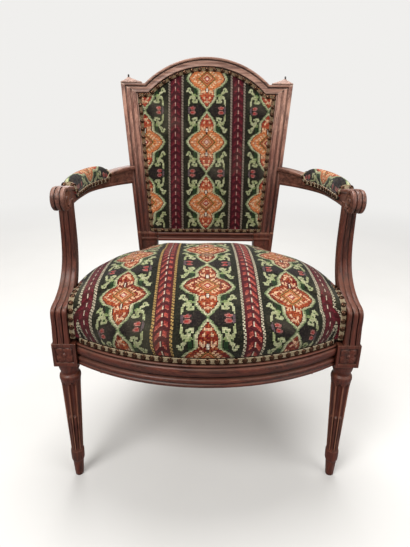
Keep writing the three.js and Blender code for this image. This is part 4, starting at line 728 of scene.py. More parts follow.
def carved_face(a, b):
    """A sunk square with a four-petalled flower, by place on a block's face."""
    size = np.maximum(abs(a), abs(b))
    r, turn = np.hypot(a, b), np.arctan2(b, a)

    def petals(rise, wave, narrow, start, length, blunt):
        along = np.sin(math.pi * np.clip((r - start) / length, 0, 1))
        return rise * abs(wave) ** narrow * np.clip(along, 0, 1) ** blunt

    flower = petals(3.8, np.sin(2 * turn), 0.8, 2, 17.5, 0.6)
    leaves = petals(2.8, np.cos(2 * turn), 2.2, 3, 10.5, 0.8)
    crease = 1.4 * np.exp(-((np.cos(2 * turn) * r / 1.3) ** 2)) * (r < 15) * (r > 5)
    boss = boss_radius * np.sqrt(np.clip(1 - (r / boss_radius) ** 2, 0, 1))
    sunk = -panel_depth * smooth_share((panel_half - size) / panel_slope)
    inside = smooth_share((flower_half - size) / panel_slope)
    return sunk + inside * np.maximum(np.maximum(flower - crease, leaves), boss)


def relief_box(shape, low, high, reliefs, steps=40):
    """A box whose named faces carry a relief. Faces are (axis, sign)."""
    low, high = np.asarray(low, float), np.asarray(high, float)
    middle = (low + high) / 2
    for axis in range(3):
        p, q = [k for k in range(3) if k != axis]
        fp, fq = np.meshgrid(*[np.linspace(low[k], high[k], steps + 1) for k in (p, q)], indexing="ij")
        for sign in (-1, 1):
            out = np.full(fp.shape, (high if sign > 0 else low)[axis])
            if (axis, sign) in reliefs:
                out = out + sign * reliefs[(axis, sign)](fp - middle[p], fq - middle[q])
            grid = np.zeros((*fp.shape, 3))
            grid[..., axis], grid[..., p], grid[..., q] = out, fp, fq
            shape.grid(grid)
    return shape


def make_front_legs():
    leg = turned_leg(Shape(), leg_spread, 0, block_bottom, leg_splay, 0)
    make_pair("front_leg_turned", leg, wood_z, ["front_leg"], "wood", sharp=30)
    low = (leg_spread - block_half, -block_half, block_bottom)
    high = (leg_spread + block_half, block_half, block_top)
    block = relief_box(Shape(), low, high, {(1, -1): carved_face, (0, 1): carved_face})
    settings = dict(weld=0.01, bevel=1.1, limit=70, sharp=50)
    make_pair("front_leg_block", block, wood_z, ["front_leg"], "wood", **settings)


rail_face_shares = [
    (0.09, 0), (0.01, 0.02), (-0.02, 0.07), (0, 0.13), (0.07, 0.155), (0.09, 0.175), (0.07, 0.195), (0, 0.215),
    (-0.03, 0.28), (0, 0.35), (0.12, 0.385), (0.21, 0.41), (0.21, 0.445), (0.09, 0.475), (0, 0.54), (-0.06, 0.64),
    (-0.07, 0.75), (-0.03, 0.83), (0.06, 0.865), (0.15, 0.88), (0.15, 0.905), (0.04, 0.925), (0.02, 0.96),
    (0.06, 0.99), (0.12, 1),
]


def rail_section():
    face = rounded([(d * rail_thickness, rail_bottom + h * rail_height) for d, h in rail_face_shares], 1)
    rest = [
        (rebate_depth, rail_top), (rebate_depth, tack_top), (rail_thickness, tack_top),
        (rail_thickness, rail_bottom), (rail_thickness * 0.5, rail_bottom),
    ]
    return np.vstack([face, rest])


def make_rails():
    section = rail_section()
    behind, height = section[:, 0], section[:, 1]
    low_height = np.minimum(height, rail_top)
    x = np.linspace(-rail_end_x, rail_end_x, 73)[:, None]
    lip = np.where(abs(x) > rail_end_x - lip_end_gap, low_height, height)
    front = np.stack(np.broadcast_arrays(x, front_y(x, behind), lip), -1)
    make("front_rail_moulded", tube(front), wood_x, ["front_seat_rail"], "wood", sharp=32, bevel=0.5)
    y = np.linspace(block_half, rear_block_front, 41)[:, None]
    lip = np.where((y < block_half + lip_side_gap) | (y > rear_block_front - lip_side_gap), low_height, height)
    side = np.stack(np.broadcast_arrays(side_x(y, behind), y, lip), -1)
    make_pair("side_rail_moulded", tube(side), wood_y, ["seat_rail"], "wood", sharp=32, bevel=0.5)


def bead_line(start, end, low, high, power, steps=9):
    """Half an oval from start to end, as (share, height) pairs."""
    turn = np.linspace(math.pi, 0, steps)
    share = (start + end) / 2 + (end - start) / 2 * np.sign(np.cos(turn)) * abs(np.cos(turn)) ** (2 / power)
    return np.stack([share, low + (high - low) * np.sin(turn) ** (2 / power)], 1)


def outer_edge(face):
    """The outer corner of a back member's section, from its rear to the groove beside its first bead."""
    return [(1.5 / face, -back_thickness), (0, -back_thickness + 1.5), (0, -groove_depth - 2), (0, -groove_depth)]


def rebate_edge(share):
    """The inner side of a back member's section: groove, rebate and rear corner."""
    return [(1, -groove_depth), (1, -back_rebate_depth), (share, -back_rebate_depth), (share, -back_thickness)]


def stile_section():
    g = -groove_depth
    return np.vstack([
        outer_edge(stile_low_face),
        bead_line(0.0, 0.245, g, 0, 4.5),
        bead_line(0.33, 0.56, g + 0.2, 0.2, 2.4),
        [(0.6, g), (0.64, g)],
        bead_line(0.66, 0.92, g, -0.2, 3.2),
        rebate_edge(stile_rebate_share),
    ])


def stile_top(share):
    past = shoulder_v - crest_face - (share - 1) * stile_low_face
    return np.where(share <= 1, shoulder_v - crest_face * share, past)


def make_back_posts():
    shape = Shape()
    section = stile_section()
    share, n = section[:, 0], section[:, 1]
    step = np.linspace(0, 1, 25)[:, None]
    v = lower_rail_top_v - 1 + (stile_top(share)[None] - lower_rail_top_v + 1) * step
    grid = on_back(stile_outer(v) - share * stile_face(v), v, np.broadcast_to(n, v.shape))
    shape.grid(grid, around=True, caps=True)
    # Plinth, with two steps where the inner mouldings end: height, step back and step aside
    rows = [
        (rail_v(tack_top) - rebate_height, 3.5, 3), (17, 3.5, 3), (18, 2.4, 2), (19, 0.6, 0.4), (21, 0.2, 0),
        (23.5, 0.6, 0.4), (24.5, 2.6, 2), (25.5, 3.2, 2.6), (31, 2.6, 2.2), (32, 0.8, 0.6), (34.5, 0.4, 0.3),
        (37, 0.8, 0.6), (38, 2.6, 2), (lower_rail_top_v + 1.5, 3.2, 2.6),
    ]
    c, lift, rear = plinth_chamfer, 0.2, -plinth_thickness
    rings = []
    for v_at, back, aside in rows:
        outer = stile_outer(v_at)
        band = outer - plinth_band_share * stile_face(v_at)
        inner = plinth_inner + aside
        corners = [
            (inner, rear + c), (inner, -back - c), (inner + c, -back), (band - 0.5, -back), (band, -0.4 - c),
            (band + c, -lift), (outer - c, -lift), (outer, -lift - c), (outer, rear + c), (outer - c, rear),
            (inner + c, rear),
        ]
        rings.append([on_back(u, v_at, n_at) for u, n_at in corners])
    shape.grid(np.array(rings), around=True, caps=True)
    low = (plinth_inner, rear_block_front, rail_bottom)
    high = (rear_block_outer, rear_block_front + rear_block_depth, tack_top)
    relief_box(shape, low, high, {}, steps=2)
    leg_x, leg_y = (plinth_inner + rear_block_outer) / 2, rear_block_front + rear_block_depth / 2
    turned_leg(shape, leg_x, leg_y, rail_bottom, 0, rear_leg_rake)
    settings = dict(weld=0.001, bevel=0.7, limit=55, sharp=32)
    make_pair("back_post_carved", shape, wood_stile, ["back_post"], "wood", **settings)


def crest_section():
    g = -groove_depth
    return np.vstack([
        outer_edge(crest_face),
        bead_line(0.0, 0.28, g, 0, 3.0),
        [(0.33, g), (0.37, g), (0.39, g + 1.6), (0.43, -0.5), (0.6, -1.1), (0.8, -1.1), (0.9, -0.3), (0.96, -0.6)],
        [(0.98, g)],
        rebate_edge(crest_rebate_share),
    ])


def make_crest():
    ring = []
    for share, n in crest_section():
        below = share * crest_face
        radius, shoulder = arch_radius - below, shoulder_v - below
        meet = math.sqrt(radius**2 - (shoulder - arch_middle_v) ** 2)
        spread = math.asin(meet / radius)
        s = share if share <= 1 else 1 + (share - 1) * crest_face / stile_low_face
        end = stile_outer(shoulder) - s * stile_face(shoulder)
        turn = np.linspace(-spread, spread, 65)
        arch = np.stack([radius * np.sin(turn), arch_middle_v + radius * np.cos(turn)], 1)
        left = [(u, shoulder) for u in np.linspace(-end, -meet, 7)[:-1]]
        right = [(u, shoulder) for u in np.linspace(meet, end, 7)[1:]]
        line = np.vstack([left, arch, right])
        ring.append(on_back(line[:, 0], line[:, 1], n))
    make("crest_rail_moulded", tube(np.stack(ring, 1)), wood_x, ["crest_rail"], "wood", sharp=32, bevel=0.5)


def make_lower_rail():
    g = -groove_depth
    section = np.vstack([
        [(0, -back_thickness), (0, g)],
        bead_line(0.0, 0.36, g, 0, 3.0), [(0.42, g), (0.58, g)], bead_line(0.64, 1.0, g, 0, 3.0),
        rebate_edge(lower_rebate_share),
    ])
    u = np.linspace(-plinth_inner, plinth_inner, 9)[:, None]
    v = lower_rail_bottom_v + section[:, 0] * (lower_rail_top_v - lower_rail_bottom_v)
    grid = on_back(u, v, section[:, 1])
    make("lower_back_rail_moulded", tube(grid), wood_x, ["lower_back_rail"], "wood", sharp=32, bevel=0.5)


def make_caps():
    """The pyramids on the shoulders, and the pins that once held finials."""
    outer = stile_outer(shoulder_v)
    inner = outer - stile_rebate_share * stile_face(shoulder_v)
    apex = inner + cap_apex_share * (outer - inner)
    half = back_thickness / 2
    rises = [fit_gap, cap_edge, cap_edge + 0.8]
    rises += [cap_edge + (cap_height - cap_edge) * t for t in (0.3, 0.55, 0.8, 1)]
    steps = 6
    rings = []
    for rise, s in zip(rises, cap_shares):
        u0, u1 = inner + (apex - inner) * s, outer + (apex - outer) * s
        n0, n1 = -back_thickness + half * s, -half * s
        corners = np.array([(u0, n0), (u1, n0), (u1, n1), (u0, n1)])
        ring = [a + (b - a) * i / steps for a, b in zip(corners, np.roll(corners, -1, 0)) for i in range(steps)]
        rings.append([on_back(u, shoulder_v + rise, n) for u, n in ring])
    settings = dict(sharp=26, bevel=0.9, limit=26)
    make_pair("shoulder_cap_carved", tube(np.array(rings)), wood_z, ["shoulder_cap"], "wood", **settings)
    turn = np.linspace(0, 2 * math.pi, 13)[:-1]
    profile = [(1, -2), (1, pin_rise * 0.75), (0.9, pin_rise * 0.92), (0.4, pin_rise)]
    foot = shoulder_v + cap_height + fit_gap
    pin = np.array([
        [on_back(apex + r * math.cos(t), foot + h, -half + r * math.sin(t)) for t in turn]
        for r, h in ((pin_radius * share, h) for share, h in profile)
    ])
    make_pair("finial_pin_round", tube(pin), steel, ["finial_pin"], "pin_steel")


# Arm: plan curve through points, as in the part


def curve_points(points, count):
    """Centripetal curve through points."""
    p = np.asarray(points, float)
    p = np.vstack([2 * p[0] - p[1], p, 2 * p[-1] - p[-2]])
    spans = len(p) - 3
    made = []
    for k in range(count + 1):
        at = k / count * spans
        i = min(int(at), spans - 1)
        w = at - i
        a, b, c, d = p[i : i + 4]
        ta, tb, tc = (math.sqrt(np.linalg.norm(q - r)) for q, r in ((b, a), (c, b), (d, c)))
        m1 = ((b - a) / ta - (c - a) / (ta + tb) + (c - b) / tb) * tb
        m2 = ((c - b) / tb - (d - b) / (tb + tc) + (d - c) / tc) * tb
        made.append(b + m1 * w + (-3 * b + 3 * c - 2 * m1 - m2) * w**2 + (2 * b - 2 * c + m1 + m2) * w**3)
    return np.array(made)


arm_tenon_z = (arm_under + arm_top_end) / 2
arm_end_x = stile_outer(rail_v(arm_tenon_z)) - 9.2
arm_end_y = back_y + (arm_tenon_z - back_z) * math.tan(recline) + 21
arm_plan = [
    (arm_end_x + a * (arm_bow_x - arm_end_x), scroll_y + b * (arm_end_y - scroll_y)) for a, b in arm_plan_shares
]
arm_line = curve_points([(arm_front_x, scroll_y), *arm_plan, (arm_end_x, arm_end_y)], 360)
arm_way = np.gradient(arm_line, axis=0)
arm_way /= np.linalg.norm(arm_way, axis=1)[:, None]


def arm_at(y):
    """Middle of the arm at a depth, and the direction outwards across it."""
    x = np.interp(y, arm_line[:, 1], arm_line[:, 0])
    return x, np.interp(y, arm_line[:, 1], arm_way[:, 1]), -np.interp(y, arm_line[:, 1], arm_way[:, 0])


def arm_bottom(y):
    share = (y - scroll_y) / (arm_end_y - scroll_y)
    return arm_under_front + (arm_under - arm_under_front) * smooth_share(share)


def arm_top(y):
    front = scroll_z + scroll_radius
    share = (y - scroll_y) / (arm_end_y - scroll_y)
    near = front + (arm_top_middle - front) * smooth_share((y - scroll_y) / arm_fall)
    far = arm_top_middle + arm_end_rise * smooth_share((share - arm_level_share) / (1 - arm_level_share))
    return np.where(y < pad_back_y, near, far)


def make_arms():
    half = arm_width / 2
    section = np.array(arm_side_shares + [(0, 1)] + [(-a, h) for a, h in reversed(arm_side_shares)])
    ys = np.concatenate([
        np.linspace(scroll_y + 2, pad_front_y, 14),
        np.linspace(pad_front_y + 0.4, pad_back_y - 0.4, 30),
        np.linspace(pad_back_y, arm_end_y - 2, 16),
    ])[:, None]
    under_pad = (ys > pad_front_y) & (ys < pad_back_y)
    x, out_x, out_y = arm_at(ys)
    low = arm_bottom(ys)
    full = arm_top(ys) - low
    across = section[:, 0] * half
    across = np.where(under_pad & (section[:, 1] > 0.6), across * 0.8, across)
    z = low + np.minimum(section[:, 1] * full, full - np.where(under_pad, pad_seat_drop, 0))
    shape = tube(np.stack([x + out_x * across, ys + out_y * across, z], -1))
    # The roll at the front: three ribs, and a disc with a raised rim and button at each end
    w, r = scroll_width / 2, scroll_radius
    disc = [
        (1.02, 0), (1.02, 2.6), (0.98, 4.2), (0.86, 5.2), (0.84, 12), (0.88, 14.5), (1.0, 15.6), (1.03, 17.4),
        (1.0, 18.8),
    ]
    floor = r - rib_depth
    ribs = [
        (0.95, floor), (0.9, r - 0.5), (0.8, r), (0.52, r), (0.44, r - 0.6), (0.4, floor), (0.31, floor),
        (0.27, r - 0.6), (0.2, r),
    ]
    profile = [(-a, b) for a, b in disc + ribs] + [(a, b) for a, b in reversed(disc + ribs)]
    turn = np.linspace(0, 2 * math.pi, 57)[:-1]
    roll = np.array([
        [(arm_front_x + a * w, scroll_y + b * math.cos(t), scroll_z + b * math.sin(t)) for t in turn]
        for a, b in ((a, max(b, 0.05)) for a, b in profile)
    ])
    shape.grid(roll, around=True, caps=True)
    make_pair("arm_carved", shape, wood_arm, ["arm"], "wood", sharp=34, bevel=0.4, limit=60)


def support_across(share):
    """Middle and half width of an arm support, by its share of the height."""
    half = (support_bottom_width + (support_top_width - support_bottom_width) * share) / 2
    return support_bottom_x + (support_top_x - support_bottom_x) * share, half


def make_supports():
    foot = block_top + fit_gap

    def edge_line(shares):
        line = [(-block_half + a * support_sweep, foot + b * support_rise) for a, b in shares]
        return resampled(curve_points(line, 80), 60)

    def reed(start, end):
        return bead_line(start, end, 0.07, 0.0, 3.0, 7)

    section = np.vstack([
        [(-1, 0.16), (-0.99, 0.08)], reed(-0.96, -0.4), [(-0.36, 0.1)], reed(-0.32, 0.32), [(0.36, 0.1)],
        reed(0.4, 0.96), [(0.99, 0.08), (1, 0.16)],
        [(1, 0.3), (0.94, 0.34), (0.94, 0.42), (1, 0.46), (1, 0.94), (0.9, 1), (-0.9, 1), (-1, 0.94)],
        [(-1, 0.46), (-0.94, 0.42), (-0.94, 0.34), (-1, 0.3)],
    ])
    rings = []
    for front, rear in zip(edge_line(support_front_shares), edge_line(support_rear_shares)):
        at = front + (rear - front) * section[:, 1:]
        middle, half = support_across((at[:, 1] - foot) / support_rise)
        rings.append(np.stack([middle + section[:, 0] * half, at[:, 0], at[:, 1]], 1))
    settings = dict(sharp=34, bevel=0.5, limit=60)
    make_pair("arm_support_reeded", tube(np.array(rings)), wood_z, ["arm_support"], "wood", **settings)


# Under the seat


def make_underside():
    """Webbing straps woven through each other under the rails, and the springs that stand on them."""
    top = rail_bottom - fit_gap
    half = strap_width / 2
    side = np.linspace(-1, 1, 9)

    def strap(name, node, px, py, z, flat_v):
        upper = np.stack(np.broadcast_arrays(px, py, z), -1)
        flat = np.stack(np.broadcast_arrays(side * half, flat_v, 0 * px), -1)
        grid = np.concatenate([upper, upper[:, ::-1] - [0, 0, strap_thickness]], 1)
        shape = tube(grid, np.concatenate([flat, flat[:, ::-1]], 1))
        make(name, shape, jute, [node], "webbing", cloth=True, sharp=50)

    for i, x in enumerate(long_strap_places):
        y0, y1 = float(front_y(x, rail_thickness / 2)), rear_block_front + rear_block_depth / 2
        t = np.linspace(0, 1, 41)[:, None]
        px = x + (x * strap_rear_share - x) * t + side * half
        py = np.broadcast_to(y0 + (y1 - y0) * t, px.shape)
        weave = 0.9 * np.cos(math.pi * (py - 13) / 98) * np.sin(math.pi * t) * (1 if i % 2 else -1)
        strap(f"long_strap_{i + 1}", f"long_webbing_{i + 1}", px, py, top + weave * 0.4 - 0.4, py)
    for i, y in enumerate(cross_strap_places):
        x0, x1 = (float(side_x(y + part, rail_thickness / 2)) for part in (-half, half))
        px = np.linspace(-1, 1, 51)[:, None] * (x0 + (x1 - x0) * (side + 1) / 2)
        strap(f"cross_strap_{i + 1}", f"cross_webbing_{i + 1}", px, y + side * half, top - 2.4, px)
    t = np.linspace(0, 1, spring_turns * 28 + 1)
    turn = t * spring_turns * 2 * math.pi
    out = np.stack([np.cos(turn), np.sin(turn), 0 * turn], 1)
    radius = spring_radius - spring_waist * np.sin(t * math.pi)
    w = np.linspace(0, 2 * math.pi, 9)[:-1][None, :, None]
    for i, (x, y) in enumerate(spring_places):
        rise = rail_bottom + spring_foot + spring_rise * t
        middle = np.stack([x + radius * np.cos(turn), y + radius * np.sin(turn), rise], 1)
        grid = middle[:, None] + spring_wire * (np.cos(w) * out[:, None] + np.sin(w) * np.array([0, 0, 1.0]))
        make(f"coil_spring_{i + 1}", tube(grid), steel, [f"seat_spring_{i + 1}"], "spring_steel")


# Upholstery


def seat_outline():
    """The tacking line, anticlockwise from the front's middle, dense enough for a smooth edge."""
    reach = rail_end_x - lip_end_gap
    rear_x = plinth_inner - 2.1
    front = [(x, float(front_y(x, rebate_depth))) for x in np.linspace(0, reach, 26)[1:]]
    side = [(float(side_x(y, rebate_depth)), y) for y in np.linspace(20.5, rear_block_front - 2.1, 30)]
    rear = [(x, tack_rear_y) for x in [rear_x, *np.linspace(rear_x, 0, 12)[1:-1]]]
    right = front + tack_corner + side + rear
    start = (0, float(front_y(0, rebate_depth)))
    line = np.array([start, *right, (0, tack_rear_y), *[(-x, y) for x, y in reversed(right)], start])
    return resampled(line, seat_columns + 1)[:-1]


def seat_form(points):
    """Height of the wall and flatness of the dome, by the way that a point of the outline faces."""
    away = unit(points - [0, seat_middle_y])
    side = abs(away[:, 0]) ** seat_turn
    end = np.where(away[:, 1:] < 0, [seat_front], [seat_rear])
    return end + (np.array([seat_side]) - end) * side[:, None]


def support_room(z, gap):
    """Depth range and across range that an arm support takes at a height."""
    share = np.clip((z - block_top) / support_rise, 0, 1)
    front, rear = (
        np.interp(share, [b for _, b in shares], [a for a, _ in shares])
        for shares in (support_front_shares, support_rear_shares)
    )
    middle, half = support_across(share)
    return -block_half + front * support_sweep - gap, -block_half + rear * support_sweep + gap, middle - half - gap


def clear_of_posts(points, gap=0.8):
    """Draws cloth straight in towards the seat's middle where a post stands in its way."""
    made = points.copy()
    z = made[:, 2]
    y0, y1, inner = support_room(z, gap)
    low_block = z < block_top
    y0, y1 = np.where(low_block, -block_half - gap, y0), np.where(low_block, block_half + gap, y1)
    inner = np.where(low_block, rail_end_x - gap, inner)
    face = np.where(z < tack_top, rear_block_front, back_y + (z - back_z) * math.tan(recline)) - gap
    for _ in range(80):
        x, y = abs(made[:, 0]), made[:, 1]
        in_front = (x > inner) & (y > y0) & (y < y1)
        hit = in_front | ((x > plinth_inner - gap) & (y > face))
        if not hit.any():
            break
        step = np.where(hit, 0.994, 1.0)
        made[:, 0] *= step
        made[:, 1] = seat_middle_y + (made[:, 1] - seat_middle_y) * step
    return made


def settle(piece, over, pressure, cap):
    """Cloth simulation of a tacked cover over its stuffing: it swells and creases, and the result stays in the
    mesh. over is each point's share of the way up from the tacked edge to where the cover is free.
    """
    mesh = piece.data
    rest = np.array([v.co for v in mesh.vertices])
    group = piece.vertex_groups.new(name="tacked")
    for i, weight in enumerate(np.clip(1 - over, 0, 1)):
        group.add([i], float(weight), "REPLACE")
    modifier = piece.modifiers.new("cloth", "CLOTH")
    for key, value in dict(cover_cloth, uniform_pressure_force=pressure).items():
        setattr(modifier.settings, key, value)
    modifier.settings.effector_weights.gravity = 0
    modifier.collision_settings.use_collision = False
    modifier.point_cache.frame_start, modifier.point_cache.frame_end = 1, settle_frames
    scene = bpy.context.scene
    for step in range(1, settle_frames + 1):
        scene.frame_set(step)
    solved = piece.evaluated_get(bpy.context.evaluated_depsgraph_get())
    found = np.array([v.co for v in solved.data.vertices])
    piece.modifiers.remove(modifier)
    piece.vertex_groups.remove(group)
    scene.frame_set(1)
    move = found - rest
    far = np.linalg.norm(move, axis=1)
    move *= np.minimum(1, cap * MM / np.maximum(far, 1e-9))[:, None]
    mesh.vertices.foreach_set("co", (rest + move).astype(np.float32).ravel())
    mesh.update()


def in_mm(piece):
    """A piece's points back in millimetres from the front legs' axis."""
    points = np.array([v.co for v in piece.data.vertices]) / MM
    points[:, 1] -= row_shift
    return points


def lumps(x, y, size):
    """Slow, fixed unevenness of old stuffing."""
    broad = np.sin(x / 41 + 0.6) * np.cos(y / 53 + 1.1)
    return size * (broad + 0.6 * np.sin(x / 23 + y / 31 + 2.0) + 0.4 * np.cos(x / 67 - y / 29))


def refined(piece):
    detail = piece.modifiers.new("rounder", "SUBSURF")
    detail.levels = detail.render_levels = 1


def make_seat():
    outline = seat_outline()
    height, power = seat_form(outline).T
    away = outline - [0, seat_middle_y]
    reach = np.linalg.norm(away, axis=1)
    way = away / reach[:, None]
    rim = reach - seat_rim_share * seat_bulge
    # Meridian of each column: down inside the rail's lip, up the wall, over the dome
    out, rise = [], []
    for s, h in [(0, -0.22)] + seat_wall_shares:
        out.append(s * seat_bulge + 0 * reach)
        rise.append(h * height)
    for share in [1, 0.975, *np.linspace(0.94, 0.06, 40)]:
        out.append(rim * share - reach)
        rise.append(height + (seat_crown - height) * (1 - share**power))
    out, rise = np.array(out), np.array(rise)
    for line in (out, rise) * 2:
        line[4:14] = line[3:13] * 0.25 + line[4:14] * 0.5 + line[5:15] * 0.25
    steps = np.hypot(np.diff(out, axis=0), np.diff(rise, axis=0))
    run = np.vstack([0 * reach, np.cumsum(steps, axis=0)])
    # The cover lies over the stuffing's surface, with a pucker at each nail
    pucker = seat_pucker * np.cos(2 * math.pi * lengths_of(outline) / seat_nail_pitch)
    out = out + cover_thickness + pucker * np.exp(-(((run - 20) / 16) ** 2))
    x, y = (reach + out) * way[:, 0], seat_middle_y + (reach + out) * way[:, 1]
    z = tack_top + rise + cover_thickness * smooth_share(rise / 40)
    z = z + lumps(x, y, seat_lumps) * smooth_share((rise - 30) / 40)
    cloth = seat_cloth(x, y, rim, way, run)
    grid = np.stack([x, y, z], -1)
    shape = Shape().grid(grid, around=True, cloth=cloth)
    top = tack_top + seat_crown + cover_thickness + float(lumps(0, seat_middle_y, seat_lumps))
    shape.fan(grid[-1], (0, seat_middle_y, top), cloth[-1])
    shape.fan(grid[0][::-1], (0, seat_middle_y, float(z[0].mean())), cloth[0][::-1])
    shape.points = [clear_of_posts(p) for p in shape.points]
    settings = dict(cloth=True, weld=0.05, sharp=80)
    nodes = ["seat_cover", "seat_stuffing"]
    piece = make("seat_needlepoint", shape, tapestry, nodes, "tapestry", **settings)
    settle(piece, (in_mm(piece)[:, 2] - tack_top - 4) / 24, 3.0, 2.4)
    points = clear_of_posts(in_mm(piece))
    piece.data.vertices.foreach_set("co", place(points).astype(np.float32).ravel())
    piece.data.update()
    refined(piece)
    return piece


def seat_cloth(x, y, rim, way, run):
    """Cloth coordinates: distance over the dome from its middle, and straight down the walls."""
    step = 4.0
    gx, gy = np.arange(-300, 301, step), np.arange(-130, 431, step)
    angle = np.arctan2(way[:, 1], way[:, 0])
    order = np.argsort(angle)
    mx, my = np.meshgrid(gx, gy, indexing="ij")
    where = np.arctan2(my - seat_middle_y, mx)
    edge = np.interp(where, angle[order], rim[order], period=2 * math.pi)
    form = seat_form(np.stack([mx.ravel(), my.ravel() + 1e-6], 1)).reshape(*mx.shape, 2)
    share = np.clip(np.hypot(mx, my - seat_middle_y) / edge, 0, 1)
    dome = form[..., 0] + (seat_crown - form[..., 0]) * (1 - share ** form[..., 1])
    slope_x, slope_y = np.gradient(dome, step)
    long_x = np.cumsum(np.sqrt(1 + slope_x**2), 0) * step
    long_y = np.cumsum(np.sqrt(1 + slope_y**2), 1) * step
    long_x = long_x - long_x[np.argmin(abs(gx))]
    long_y = long_y - long_y[:, [np.argmin(abs(gy - seat_middle_y))]]

    def looked_up(table, px, py):
        fi = np.clip((px - gx[0]) / step, 0, len(gx) - 1.001)
        fj = np.clip((py - gy[0]) / step, 0, len(gy) - 1.001)
        i, j = fi.astype(int), fj.astype(int)
        a, b = fi - i, fj - j
        near = table[i, j] * (1 - a) * (1 - b) + table[i + 1, j] * a * (1 - b)
        return near + table[i, j + 1] * (1 - a) * b + table[i + 1, j + 1] * a * b

    rim_row = len(seat_wall_shares) + 1
    on_dome = (np.arange(len(x)) >= rim_row)[:, None]
    px, py = np.where(on_dome, x, x[rim_row]), np.where(on_dome, y, y[rim_row])
    u, v = looked_up(long_x, px, py), looked_up(long_y, px, py)
    way_x, way_y = (np.roll(line, -1) - np.roll(line, 1) for line in (x[rim_row], y[rim_row]))
    normal = np.stack([way_y, -way_x], 1) / np.hypot(way_x, way_y)[:, None]
    # At the front corners the cloth hangs nearly straight down, as on the front
    to_side = smooth_share((y[rim_row] + 5) / 60)
    turned = (0.6 + 0.4 * to_side)[:, None]
    normal = unit(normal * turned + np.array([0, -1.0]) * (1 - turned))
    down = np.where(on_dome, 0, run[rim_row] - run)
    u, v = u + down * normal[:, 0], v + down * normal[:, 1]
    outer = smooth_share((abs(u) - 58) / 45)
    v = v + seat_cloth_shift + seat_cloth_sag * (0.7 * outer + 0.3 * (u / cloth_period_u) ** 2)
    v = cloth_period_v + (v - cloth_period_v) * (1 + seat_cloth_gather * outer)
    u = u + np.sign(u) * seat_cloth_narrowing * np.clip(abs(u) - 100, 0, None) ** 2
    past = np.clip(abs(u) - 1.5 * cloth_period_u - seat_stripe_half, 0, None)
    u = u - np.sign(u) * past * 0.85 * (1 - to_side)
    return np.stack([u, v, 0 * u], -1)


def field_line(inset, count):
    """Outline of the back's covered field, anticlockwise from the lower right corner."""
    top_v = shoulder_v - crest_face - inset
    radius = arch_radius - crest_face - inset
    spread = math.asin(math.sqrt(radius**2 - (top_v - arch_middle_v) ** 2) / radius)
    heights = np.linspace(lower_rail_top_v + inset, top_v, 30)
    right = [(stile_outer(v) - stile_face(v) - inset, v) for v in heights]
    turns = np.linspace(spread, -spread, 60)
    arch = [(radius * math.sin(t), arch_middle_v + radius * math.cos(t)) for t in turns]
    left = [(-u, v) for u, v in reversed(right)]
    return resampled(np.array([*right, *arch, *left, right[0]]), count + 1)[:-1]


# The edge of the back's cover: canvas and cover lie in the rebate, with a gap before each
canvas_thickness = 1
cover_top = -back_rebate_depth + fit_gap + canvas_thickness + fit_gap + cover_thickness_back


def make_back():
    edge, inner = field_line(0.6, 240), field_line(back_margin, 240)
    middle = np.array([0, back_middle_v])
    crown = back_crown - cover_thickness_back
    rings, cloth = [], []

    def row(line, n):
        rings.append(on_back(line[:, 0], line[:, 1], n))
        cloth.append([(u, (v - back_cloth_middle) * back_cloth_stretch, 1) for u, v in line])

    row(edge, cover_top - 3)
    for t in np.linspace(0, 0.8, 4):
        row(edge + (inner - edge) * t, cover_top)
    pucker = back_pucker * np.cos(2 * math.pi * lengths_of(inner) / back_nail_pitch)
    for share in [1, 0.985, 0.97, *np.linspace(0.95, 0.06, 34)]:
        line = middle + (inner - middle) * share
        n = cover_top + crown * (1 - share**3) + pucker * np.exp(-(((1 - share) / 0.05 - 0.7) ** 2))
        row(line, n + lumps(line[:, 0], line[:, 1], back_lumps) * smooth_share((1 - share) * 5))
    grid, flat = np.array(rings), np.array(cloth)
    shape = Shape().grid(grid, around=True, cloth=flat)
    top = cover_top + crown + float(lumps(0, back_middle_v, back_lumps))
    flat_middle = (0, (back_middle_v - back_cloth_middle) * back_cloth_stretch, 1)
    shape.fan(grid[-1], on_back(0, back_middle_v, top), flat[-1], flat_middle)
    shape.fan(grid[0][::-1], on_back(0, back_middle_v, cover_top - 3), flat[0][::-1])
    nodes = ["back_cover", "back_stuffing", "back_canvas"]
    settings = dict(cloth=True, weld=0.05, sharp=80)
    piece = make("back_needlepoint", shape, tapestry, nodes, "tapestry", **settings)
    points = in_mm(piece)
    forward = -(points[:, 1] - back_y) * math.cos(recline) + (points[:, 2] - back_z) * math.sin(recline)
    settle(piece, (forward - cover_top - 0.6) / 3, 1.5, 4)
    refined(piece)


def make_outside_back():
    """Plain cloth on the outside of the back."""
    edge = field_line(0.5, 120)
    middle = np.array([0, back_middle_v])
    behind, thickness = -back_thickness - fit_gap, 1.4
    rows, flat = [], []
    for n, shares in ((behind, [0.05, 0.3, 0.6, 0.85, 1]), (behind - thickness, [1, 0.97, 0.85, 0.6, 0.3, 0.05])):
        for share in shares:
            line = middle + (edge - middle) * share
            rows.append(on_back(line[:, 0], line[:, 1], n))
            flat.append(np.column_stack([line, 0 * line[:, 0]]))
    shape = Shape().grid(np.array(rows), around=True, cloth=np.array(flat))
    flat_middle = (0, back_middle_v, 0)
    shape.fan(rows[0][::-1], on_back(0, back_middle_v, behind), flat[0][::-1], flat_middle)
    shape.fan(rows[-1], on_back(0, back_middle_v, behind - thickness), flat[-1], flat_middle)
    settings = dict(cloth=True, weld=0.05, sharp=60)
    outside = make("outside_back_cloth", shape, outside_cloth, ["outside_back_cover"], "back_cloth", **settings)


